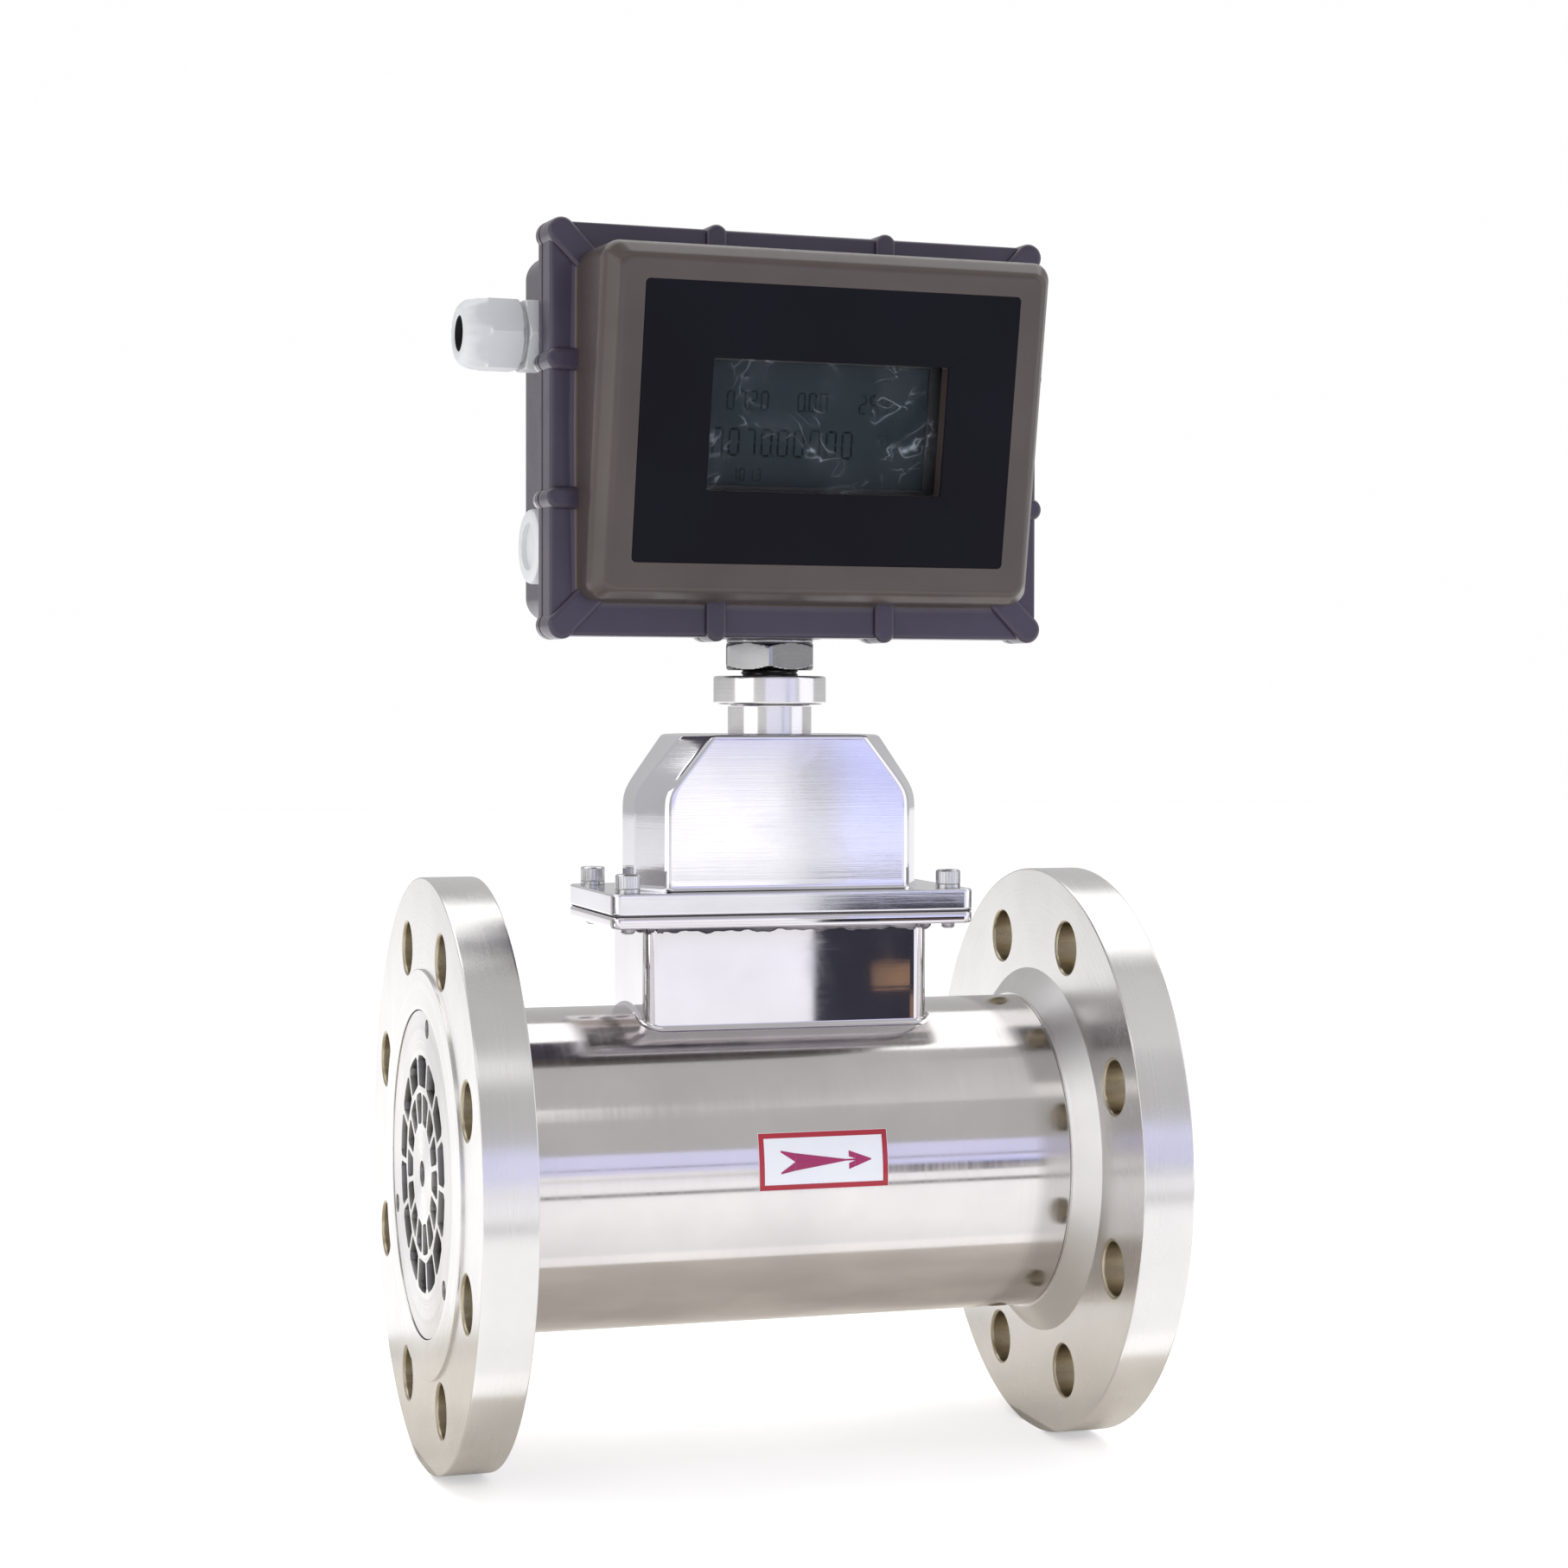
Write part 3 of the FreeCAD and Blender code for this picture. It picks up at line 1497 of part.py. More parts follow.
def boss_places():
    """The twelve screw bosses: (x, z, outward x, outward z)."""
    edge_inset = d.boss_reach - d.boss_width / 2
    x_edge = d.head_length / 2 + edge_inset
    z_edge = d.head_tall / 2 + edge_inset
    places = []
    for side in (-1, 1):
        for end in (-1, 1):
            places.append((d.boss_spacing_along / 2 * side, z_edge * end, 0, end))
            places.append((x_edge * side, d.boss_spacing_up / 2 * end, side, 0))
            x_corner = (d.head_length / 2 - d.corner_boss_inset) * side
            z_corner = (d.head_tall / 2 - d.corner_boss_inset) * end
            places.append((x_corner, z_corner, side, end))
    return places


def boss_holes(sketch, diameter):
    for x, z, _, _ in boss_places():
        circle(sketch, x, z, diameter / 2)


def boss_tongues(sketch, reach):
    """Round-ended ribs from the bosses towards the bezel's foot."""
    for x, z, out_x, out_z in boss_places():
        width = d.corner_boss_width if out_x and out_z else d.boss_width
        tongue(sketch, x, z, out_x, out_z, width / 2, reach)


def front_cover():
    """Cast cover: a rim with twelve screw bosses, and a wedge-shaped bezel that leans forward."""
    body = new_body("front_cover")
    rim = sketch_on(body, "XZ_Plane", cover_back)
    rounded_rectangle(rim, d.head_length, d.head_tall, d.head_corner)
    pad(body, rim, d.cover_rim)
    ribs = sketch_on(body, "XZ_Plane", cover_back)
    boss_tongues(ribs, d.rib_reach)
    pad(body, ribs, d.cover_rim + d.boss_rise)
    bezel(body)
    cover_cavity(body)
    play = d.panel_play * 2
    recess = sketch_on_face(body, 0)
    corner = d.panel_corner + d.panel_play
    rounded_rectangle(recess, d.panel_length + play, d.panel_tall + play, corner, 0, d.panel_rise)
    pocket(body, recess, d.panel_recess)
    window = sketch_on_face(body, 0)
    window_outline(window)
    pocket(body, window, d.face_wall + 4)
    holes = sketch_on(body, "XZ_Plane", cover_back)
    boss_holes(holes, d.cover_screw_diameter + 0.1)
    pocket(body, holes, d.cover_screw_grip + 0.5, backwards=True)
    return in_head(body)


def window_outline(sketch):
    rounded_rectangle(sketch, d.window_length, d.window_tall, d.window_corner, 0, d.window_rise)


def sketch_on_face(body, depth):
    """A sketch in the plane of the slanted face, a depth behind it."""
    sketch = sketch_on(body, "XZ_Plane", face_place, d.bezel_tilt)
    if number_of(depth):
        back = size_of(depth)
        up = back * sine(d.bezel_tilt)
        out = face_place - back * cosine(d.bezel_tilt)
        middle = Vector(0, up.number, out.number)
        sketch.AttachmentOffset = Placement(middle, sketch.AttachmentOffset.Rotation)
        sketch.setExpression(".AttachmentOffset.Base.y", up.formula)
        sketch.setExpression(".AttachmentOffset.Base.z", out.formula)
    return sketch


def bezel(body):
    """Upright sides that end at a slanted edge, then a bevelled band round the flat face."""
    tall = d.bezel_top + d.bezel_bottom
    middle = (d.bezel_top - d.bezel_bottom) / 2
    foot = sketch_on(body, "XZ_Plane", d.head_depth_front - 2)
    rounded_rectangle(foot, d.bezel_length, tall, d.bezel_corner, 0, middle)
    edge = sketch_on_face(body, d.bezel_band_depth)
    slanted_tall = tall / cosine(d.bezel_tilt)
    rounded_rectangle(edge, d.bezel_length, slanted_tall, d.bezel_corner)
    face = sketch_on_face(body, 0)
    band = d.bezel_band_width * 2
    inner = d.bezel_corner - d.bezel_band_width / 2
    rounded_rectangle(face, d.bezel_length - band, slanted_tall - band, inner)
    loft(body, [foot, edge, face], 1)


def tilted_line(reach, low, high):
    """Two points of a line parallel to the face in the side view, as (depth, height)."""
    slope = tangent(d.bezel_tilt)
    return (0 - reach - low * slope, low), (0 - reach - high * slope, high)


def cover_cavity(body):
    """Hollow behind the face, following its slant so that the face keeps one thickness."""
    top = d.bezel_top - d.bezel_wall
    bottom = 0 - d.bezel_bottom + d.bezel_wall
    lower, upper = tilted_line(face_place - d.face_wall / cosine(d.bezel_tilt), bottom, top)
    sketch = sketch_on(body, "YZ_Plane")
    outline(sketch, [(0 - cover_back, bottom), lower, upper, (0 - cover_back, top)])
    pocket(body, sketch, d.bezel_length - d.bezel_wall * 2, midplane=True)


def rear_housing():
    """Cast back shell with the stem boss below and two cable entries on its left side."""
    body = new_body("rear_housing")
    rim = sketch_on(body, "XZ_Plane", housing_front)
    rounded_rectangle(rim, d.head_length, d.head_tall, d.head_corner)
    pad(body, rim, d.housing_rim, backwards=True)
    lugs = sketch_on(body, "XZ_Plane", housing_front)
    boss_tongues(lugs, d.boss_width)
    pad(body, lugs, d.housing_rim, backwards=True)
    shell = sketch_on(body, "XZ_Plane", housing_front)
    centred_rectangle(shell, housing_half_length * 2, housing_half_tall * 2)
    block = pad(body, shell, housing_front + d.head_back, backwards=True)

    def shell_corner(edge):
        return is_along(edge, Vector(0, 1, 0)) and edge.BoundBox.YMax > d.head_back.number - 1

    rounded = fillet(body, block, edges_where(block, shell_corner), d.housing_corner)

    def back_edge(edge):
        return edge.BoundBox.YMin > d.head_back.number - 1e-3

    fillet(body, rounded, edges_where(rounded, back_edge), d.housing_back_round)
    boss = sketch_on(body, "XY_Plane", boss_bottom - head_height)
    circle(boss, 0, 0, d.housing_boss_diameter / 2)
    pad(body, boss, housing_floor - boss_bottom - 1)
    hollow = sketch_on(body, "XZ_Plane", housing_front)
    wall = d.housing_wall
    centred_rectangle(hollow, (housing_half_length - wall) * 2, (housing_half_tall - wall) * 2)
    pocket(body, hollow, housing_front + d.head_back - wall)
    stem = sketch_on(body, "XY_Plane", 0 - d.head_tall / 2 - 5)
    circle(stem, 0, 0, d.stem_diameter / 2 + d.stem_play)
    pocket(body, stem, 25, backwards=True)
    ring = sketch_on(body, "XZ_Plane")
    low = stem_ring_height - d.o_ring_groove / 2 - head_height
    rectangle(ring, d.stem_diameter / 2 - 1, stem_ring_root, low, low + d.o_ring_groove)
    groove(body, ring, "V_Axis")
    entries = sketch_on(body, "YZ_Plane", 0 - housing_half_length - 1)
    circle(entries, 0, d.gland_rise, d.entry_diameter / 2 + d.entry_play)
    circle(entries, 0, 0 - d.plug_drop, d.entry_diameter / 2 + d.entry_play)
    pocket(body, entries, d.housing_wall + 4, backwards=True)
    holes = sketch_on(body, "XZ_Plane", housing_front)
    boss_holes(holes, d.cover_screw_diameter + d.cover_screw_play * 2)
    pocket(body, holes, d.housing_rim + 1)
    return in_head(body)


stem_ring_height = (boss_bottom + housing_floor) / 2
stem_ring_root = d.stem_diameter / 2 + d.stem_play + d.o_ring_section


def stem_o_ring():
    """Seal between the stem and the head's boss; it turns with the head."""
    centre = stem_ring_root - 0.02 - d.o_ring_section / 2
    ring = torus("stem_o_ring", centre, d.o_ring_section)
    ring.Placement = place_at(d.neck_place, 0, stem_ring_height)
    return ring


def housing_gasket():
    body = new_body("housing_gasket")
    sketch = sketch_on(body, "XZ_Plane", housing_front)
    inset = d.boss_width - d.boss_reach + 0.6
    centred_rectangle(sketch, d.head_length - inset * 2, d.head_tall - inset * 2)
    wall = d.housing_wall
    centred_rectangle(sketch, (housing_half_length - wall) * 2, (housing_half_tall - wall) * 2)
    pad(body, sketch, d.housing_gasket_thickness)
    return in_head(body)


def cover_screws():
    """Twelve screws from behind, one in each boss."""
    length = d.housing_rim + d.housing_gasket_thickness + d.cover_screw_grip
    screw = cap_screw(
        "one_cover_screw",
        d.cover_screw_head,
        d.cover_screw_head_height,
        d.cover_screw_diameter,
        length,
        3,
    )
    back = d.housing_rim - housing_front
    about_neck = place_at(d.neck_place, turn=Rotation(Vector(0, 0, 1), d.head_yaw.number))
    places = []
    for x, z, _, _ in boss_places():
        local = place_at(x, back, head_height + z, Rotation(Vector(1, 0, 0), -90))
        places.append(about_neck.multiply(local))
    return group("cover_screws", screw, places)


# ---- display ----

glass_front = d.face_wall + d.display_gap
glass_back = glass_front + d.glass_thickness
module_back = glass_back + d.display_gap + d.module_thickness
board_back = module_back + d.board_thickness
glass_length = d.window_length + d.window_border * 2
glass_tall = d.window_tall + d.window_border * 2


def face_block(label, length, tall, front, back, rise=0):
    """A flat plate parallel to the slanted face, between two depths behind it."""
    body = new_body(label)
    sketch = sketch_on(body, "XZ_Plane", 0 - back)
    centred_rectangle(sketch, length, tall, 0, rise)
    pad(body, sketch, back - front)
    return body


def front_panel():
    """Thin front panel in the bezel's recess, with the window cut in it."""
    body = new_body("front_panel")
    sketch = sketch_on(body, "XZ_Plane", 0 - d.panel_recess)
    rounded_rectangle(sketch, d.panel_length, d.panel_tall, d.panel_corner, 0, d.panel_rise)
    window_outline(sketch)
    pad(body, sketch, d.panel_thickness)
    return on_face(body)


def window_glass():
    body = face_block("window_glass", glass_length, glass_tall, glass_front, glass_back, d.window_rise)
    return on_face(body)


def lcd_module():
    """Display carrier with a sunk front for the screen."""
    front = glass_back + d.display_gap
    length = d.screen_length + d.module_border * 2
    tall = d.screen_tall + d.module_border * 2
    body = face_block("lcd_module", length, tall, front, module_back, d.window_rise)
    seat = sketch_on(body, "XZ_Plane", 0 - front)
    centred_rectangle(seat, d.screen_length + 0.4, d.screen_tall + 0.4, 0, d.window_rise)
    pocket(body, seat, d.screen_thickness)
    return on_face(body)


def lcd_screen():
    front = glass_back + d.display_gap
    back = front + d.screen_thickness
    return on_face(face_block("lcd_screen", d.screen_length, d.screen_tall, front, back, d.window_rise))


def display_board():
    length = d.display_board_length
    body = face_block("display_board", length, d.display_board_tall, module_back, board_back)
    return on_face(body)


def display_pillars():
    """Four pillars that hold the display board behind the face."""
    body = new_body("display_pillars")
    sketch = sketch_on(body, "XZ_Plane", 0 - module_back)
    x = d.display_board_length / 2 - d.pillar_inset
    z = d.display_board_tall / 2 - d.pillar_inset
    for x_side in (-1, 1):
        for z_side in (-1, 1):
            circle(sketch, x * x_side, z * z_side, d.pillar_diameter / 2)
    pad(body, sketch, module_back - d.face_wall)
    return on_face(body)


# ---- electronics in the rear housing ----

back_wall_front = d.head_back - d.housing_wall
main_board_back = back_wall_front - d.standoff_length
main_board_front = main_board_back - d.board_thickness


def main_board():
    body = new_body("main_board")
    sketch = sketch_on(body, "XZ_Plane", 0 - main_board_back)
    centred_rectangle(sketch, d.main_board_length, d.main_board_tall, 0, d.main_board_rise)
    pad(body, sketch, d.board_thickness)
    return in_head(body)


def board_standoffs():
    body = new_body("board_standoffs")
    sketch = sketch_on(body, "XZ_Plane", 0 - back_wall_front)
    x = d.main_board_length / 2 - d.standoff_inset
    z = d.main_board_tall / 2 - d.standoff_inset
    for x_side in (-1, 1):
        for z_side in (-1, 1):
            circle(sketch, x * x_side, d.main_board_rise + z * z_side, d.pillar_diameter / 2)
    pad(body, sketch, d.standoff_length)
    return in_head(body)


def terminal_block():
    """Row of wire clamps on the main board."""
    body = new_body("terminal_block")
    sketch = sketch_on(body, "XZ_Plane", 0 - main_board_front)
    centred_rectangle(sketch, d.terminal_length, d.terminal_tall, 0, 0 - d.terminal_drop)
    pad(body, sketch, d.terminal_depth)
    wires = sketch_on(body, "XZ_Plane", d.terminal_depth - main_board_front)
    step = d.terminal_length / 10
    for number in range(10):
        circle(wires, step * (number - 4.5), 0 - d.terminal_drop, step / 3)
    pocket(body, wires, d.terminal_depth / 2)
    return in_head(body)


battery_depth = main_board_front - d.clip_wall - d.battery_diameter / 2


def battery():
    """Lithium cell that lies across the main board."""
    half = d.battery_length / 2
    radius = d.battery_diameter / 2
    corners = [
        (0 - half, 0),
        (0 - half, radius - 1),
        (1 - half, radius),
        (half - 1, radius),
        (half, radius - 1),
        (half, d.battery_diameter / 8),
        (half + 1.5, d.battery_diameter / 8),
        (half + 1.5, 0),
    ]
    body = turned("battery", corners)
    return in_head(body, 0, battery_depth, d.battery_rise)


def battery_clip():
    """Sprung strap that holds the cell against the board."""
    body = new_body("battery_clip")
    sketch = sketch_on(body, "YZ_Plane", 0 - d.clip_width / 2)
    outer = d.battery_diameter / 2 + d.clip_wall
    circle(sketch, 0, 0, outer)
    circle(sketch, 0, 0, d.battery_diameter / 2 + 0.05)
    pad(body, sketch, d.clip_width)
    mouth = sketch_on(body, "YZ_Plane", 0 - d.clip_width)
    rectangle(mouth, 0 - outer - 1, 0 - d.battery_diameter / 3, 0 - outer, outer)
    pocket(body, mouth, d.clip_width * 2, backwards=True)
    return in_head(body, 0, battery_depth, d.battery_rise)


# ---- cable entries ----

outer_wall = 0 - housing_half_length
inner_wall = outer_wall + d.housing_wall
gland_nut_start = d.gland_hex_length + d.gland_gap
gland_hex_end = gland_nut_start + d.gland_nut_hex_length
gland_end = gland_hex_end + d.gland_dome_length


def outward(distance):
    """A place on an entry's axis, at a distance outside the housing's left wall."""
    return outer_wall - distance


def hex_along(body, across, start, length):
    """Add a hexagon on an entry's axis that runs outwards from start."""
    sketch = sketch_on(body, "YZ_Plane", outward(start))
    hexagon(sketch, across, turn=30)
    return pad(body, sketch, length, backwards=True)


def gland_body():
    thread = d.entry_diameter / 2
    nut_thread = d.gland_thread_diameter / 2
    bore = d.gland_bore / 2
    inside_end = outward(0) + d.entry_thread_length
    thread_end = outward(gland_nut_start + 4)
    corners = [
        (inside_end, bore),
        (inside_end, thread),
        (outward(0), thread),
        (outward(0), nut_thread),
        (thread_end, nut_thread),
        (thread_end, bore),
    ]
    body = turned("gland_body", corners)
    hex_along(body, d.gland_hex, 0, d.gland_hex_length)
    bore_sketch = sketch_on(body, "YZ_Plane", outward(gland_end))
    circle(bore_sketch, 0, 0, bore)
    pocket(body, bore_sketch, gland_end + d.entry_thread_length, backwards=True)
    return in_head(body, 0, 0, d.gland_rise)


def gland_nut():
    """Dome nut that squeezes the seal round a cable."""
    nut_bore = d.gland_thread_diameter / 2 + 0.1
    mouth = d.gland_bore / 2
    corner = d.gland_hex / 2
    dome = d.gland_dome_length
    corners = [
        (outward(gland_hex_end), corner),
        (outward(gland_hex_end + dome * 0.45), corner - 0.6),
        (outward(gland_hex_end + dome * 0.8), corner - 2),
        (outward(gland_end), d.gland_mouth_diameter / 2),
        (outward(gland_end), mouth),
        (outward(gland_hex_end), mouth),
    ]
    body = turned("gland_nut", corners)
    hex_along(body, d.gland_hex, gland_nut_start, d.gland_nut_hex_length)
    hollow = sketch_on(body, "XZ_Plane")
    inner_end = outward(gland_hex_end + 2)
    rectangle(hollow, inner_end, outward(gland_nut_start - 1), 0, nut_bore)
    groove(body, hollow)
    return in_head(body, 0, 0, d.gland_rise)


def gland_seal():
    start = outward(gland_hex_end + 2)
    end = outward(gland_nut_start + 4)
    corners = ring_corners(start, end, d.seal_bore / 2, d.gland_thread_diameter / 2)
    return in_head(turned("gland_seal", corners), 0, 0, d.gland_rise)


def entry_locknuts():
    """The two nuts inside the housing that hold the gland and the blanking plug."""
    across = d.locknut_across
    body = new_body("entry_locknuts")
    sketch = sketch_on(body, "YZ_Plane", inner_wall)
    for height in (d.gland_rise, 0 - d.plug_drop):
        hexagon(sketch, across, 0, height)
        circle(sketch, 0, height, d.entry_diameter / 2 + 0.05)
    pad(body, sketch, d.locknut_height)
    return in_head(body)


def blanking_plug():
    head = d.plug_head_diameter / 2
    thread = d.entry_diameter / 2
    inside_end = outward(0) + d.entry_thread_length
    corners = [
        (inside_end, thread - 2),
        (inside_end, thread),
        (outward(0), thread),
        (outward(0), head),
        (outward(d.plug_head_height - 1), head),
        (outward(d.plug_head_height), head - 1),
        (outward(d.plug_head_height), 0),
        (outward(d.plug_head_height - 2), 0),
        (outward(d.plug_head_height - 2), thread - 2),
    ]
    return in_head(turned("blanking_plug", corners), 0, 0, 0 - d.plug_drop)


# ---- build and write ----

NODES = (
    "meter_tube inlet_flange outlet_flange flow_label sensor_pedestal pedestal_plate plate_weld "
    "hood_gasket sensor_hood hood_screws hood_washers neck_sleeve swivel_stem stem_lock_nut "
    "stem_washer stem_inner_nut stem_o_ring sensor_bosses pickup_sensor pressure_sensor "
    "temperature_probe cartridge_sleeve flow_straightener straightener_screws guide_bolt "
    "inlet_guide outlet_guide inlet_o_ring outlet_o_ring front_outer_race front_inner_race "
    "front_balls rear_outer_race rear_inner_race rear_balls rotor_shaft turbine_rotor rotor_nut "
    "magnet_wheel wheel_magnets rear_housing housing_gasket front_cover cover_screws front_panel "
    "window_glass lcd_module lcd_screen display_board display_pillars main_board board_standoffs "
    "terminal_block battery battery_clip gland_body gland_nut gland_seal entry_locknuts "
    "blanking_plug"
).split()


def build():
    pieces = (
        meter_tube,
        inlet_flange,
        outlet_flange,
        flow_label,
        flow_straightener,
        straightener_screws,
        guide_bolt,
        cartridge_sleeve,
        inlet_guide,
        outlet_guide,
        turbine_rotor,
        rotor_shaft,
        rotor_nut,
        magnet_wheel,
        wheel_magnets,
        shaft_bearings,
        cartridge_rings,
        sensor_bosses,
        sensors,
        sensor_pedestal,
        pedestal_plate,
        plate_weld,
        hood_gasket,
        sensor_hood,
        hood_fasteners,
        neck_sleeve,
        swivel_stem,
        stem_nuts,
        rear_housing,
        stem_o_ring,
        housing_gasket,
        front_cover,
        cover_screws,
        front_panel,
        window_glass,
        lcd_module,
        lcd_screen,
        display_board,
        display_pillars,
        main_board,
        board_standoffs,
        terminal_block,
        battery,
        battery_clip,
        gland_body,
        gland_nut,
        gland_seal,
        entry_locknuts,
        blanking_plug,
    )
    for piece in pieces:
        piece()
    set_origin()
    document.recompute()


def set_origin():
    """Drawn from the sealing face, every node moves back so that the origin is where the flange's
    bolts bear: on the front of its rim."""
    back = place_at(0 - d.raised_face)
    for label in NODES:
        node = document.getObjectsByLabel(label)[0]
        node.Placement = back.multiply(node.Placement)


def check():
    """Stop if any object failed to build or any node's shape is missing or broken."""
    for item in document.Objects:
        if "Invalid" in item.State or "Error" in item.State:
            raise ValueError(f"{item.Label} failed to build: {item.State}")
    for label in NODES:
        shape = document.getObjectsByLabel(label)[0].Shape
        if shape.isNull() or not shape.isValid():
            raise ValueError(f"{label} has no valid shape")


def write():
    os.makedirs("parts", exist_ok=True)
    for label in NODES:
        document.getObjectsByLabel(label)[0].Shape.exportStep(f"parts/{label}.step")


build()
check()
write()
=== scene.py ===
# %% [markdown]
# # A turbine flow meter, dressed for its picture
#
# The solids of this meter come from a CAD model: a flanged pipe with a measuring cartridge in
# it, a welded pedestal with a bolted hood, and a display head that swivels on a threaded neck.
# This script gives them their looks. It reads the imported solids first, because every visible
# piece has to sit exactly where its solid is, and then it works outwards from the pipe.

# %% Load the solids
import json
import math

import bmesh
import bpy
import numpy as np
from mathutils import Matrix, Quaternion, Vector


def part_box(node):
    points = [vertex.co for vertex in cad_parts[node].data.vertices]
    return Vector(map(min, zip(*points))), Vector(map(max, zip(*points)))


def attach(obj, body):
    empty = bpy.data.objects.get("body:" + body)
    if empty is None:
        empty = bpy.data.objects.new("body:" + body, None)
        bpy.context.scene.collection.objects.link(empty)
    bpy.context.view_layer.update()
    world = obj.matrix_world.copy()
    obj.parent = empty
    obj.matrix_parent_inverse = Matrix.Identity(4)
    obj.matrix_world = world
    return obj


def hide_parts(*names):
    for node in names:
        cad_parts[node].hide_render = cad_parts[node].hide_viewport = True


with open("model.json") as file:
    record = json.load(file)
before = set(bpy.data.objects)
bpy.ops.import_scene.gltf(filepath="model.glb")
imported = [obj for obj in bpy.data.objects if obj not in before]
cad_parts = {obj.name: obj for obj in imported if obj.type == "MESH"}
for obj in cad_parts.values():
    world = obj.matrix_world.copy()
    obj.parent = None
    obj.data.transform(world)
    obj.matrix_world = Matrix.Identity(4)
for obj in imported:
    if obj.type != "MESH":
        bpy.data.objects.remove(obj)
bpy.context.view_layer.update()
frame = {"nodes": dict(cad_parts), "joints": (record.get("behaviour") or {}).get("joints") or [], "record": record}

scene = bpy.context.scene

# %% [markdown]
# ## The camera
#
# The meter is long, tall and shiny, so the camera is set before anything else: what shows of a
# polished surface is mostly what it mirrors. A lens of about 72 mm on a 36 mm sensor stands a
# metre away at the height of the hood. It looks slightly to the right and a hair downwards, so
# that the grille in the inlet and the front of the display head both face it.

# %% Camera
CAMERA_PLACE, LENS, SENSOR = (-0.19076, -1.03693, 0.16102), 71.56, 36
YAW, PITCH, ROLL = (math.radians(degrees) for degrees in (17.028, -1.598, -0.132))

camera = bpy.data.objects.new("camera", bpy.data.cameras.new("camera"))
scene.collection.objects.link(camera)
camera.data.lens = LENS
camera.data.sensor_width = SENSOR
flat = math.cos(PITCH)
look = Vector((math.sin(YAW) * flat, math.cos(YAW) * flat, math.sin(PITCH)))
camera.location = CAMERA_PLACE
camera.rotation_mode = "QUATERNION"
camera.rotation_quaternion = Quaternion(look, ROLL) @ look.to_track_quat("-Z", "Y")
scene.camera = camera
print("camera looks along", tuple(round(c, 3) for c in look))

# %% [markdown]
# ## Tools for skins
#
# Every new piece is a skin through a stack of rings. A ring is one closed line of points, and all
# the rings of a piece have the same number of points, so four neighbours always make a face.
# Edges are never left razor sharp on a real part, so one tool rounds a stack wherever it turns.
# Lengths are in millimetres here, and the X of a piece counts from the inlet sealing face.

# %% Skins, rings and rounding
MM = 0.001
SEAL = Vector((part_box("inlet_flange")[0].x, 0, 0))
TINY, NEAR_HALF = 1e-9, 0.49
MERGE, COLLAPSE = 2e-6, 1e-7
EVEN_WEIGHT = 80


def mm_box(node):
    """The lowest and highest corner of a solid, in millimetres from the sealing face."""
    return [np.array(corner - SEAL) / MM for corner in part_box(node)]


def soften(path, cuts, steps=4):
    """Each turn P of a path of rings becomes (1-t)^2 A + 2t(1-t) P + t^2 B, for t from 0 to 1,
    with A and B at the distance cut before and after P. A cut of 0 keeps the turn sharp."""
    path = np.asarray(path, float)
    cuts = np.broadcast_to(cuts, len(path))
    out = [path[0]]
    for before, here, after, cut in zip(path[:-2], path[1:-1], path[2:], cuts[1:-1]):
        if cut <= 0:
            out.append(here)
            continue
        ends = []
        for there in (before, after):
            length = np.linalg.norm(there - here, axis=-1, keepdims=True)
            ends.append(here + (there - here) * np.minimum(cut / np.maximum(length, TINY), NEAR_HALF))
        t = np.linspace(0, 1, steps + 1).reshape((-1,) + (1,) * here.ndim)
        out.extend((1 - t) ** 2 * ends[0] + 2 * t * (1 - t) * here + t**2 * ends[1])
    return np.array(out + [path[-1]])


def skin(rings, ends="caps"):
    """The faces between neighbouring rings. The ends get flat caps, stay open, or meet in a loop."""
    rings = np.asarray(rings, float)
    rows, points = rings.shape[:2]
    row = np.arange(rows if ends == "loop" else rows - 1)[:, None]
    column = np.arange(points)[None, :]
    next_row, next_column = (row + 1) % rows, (column + 1) % points
    corners = [row * points + column, row * points + next_column]
    corners += [next_row * points + next_column, next_row * points + column]
    faces = np.stack([c + 0 * column for c in corners], -1).reshape(-1, 4).tolist()
    if ends == "caps":
        faces.append(list(range(points))[::-1])
        faces.append(list(range((rows - 1) * points, rows * points)))
    return rings.reshape(-1, 3), faces


def turn_about_x(along, radius, steps):
    """(a, r sin u, r cos u) for every pair of a and r, with u a whole turn in equal steps."""
    u = 2 * np.pi * np.arange(steps) / steps
    a, r = np.asarray(along, float)[:, None], np.asarray(radius, float)[:, None]
    return np.stack([a + 0 * u, r * np.sin(u), r * np.cos(u)], -1)


def lathe(profile, steps=128, axis="x", ends="caps", centre=(0, 0)):
    """A turned skin. About X the profile is (x, radius); about Z it is (z, radius) round centre."""
    profile = np.asarray(profile, float)
    rings = turn_about_x(profile[:, 0], profile[:, 1], steps)
    if axis == "z":
        rings = rings[..., [2, 1, 0]] + np.array([centre[0], centre[1], 0])
    return skin(rings, ends)


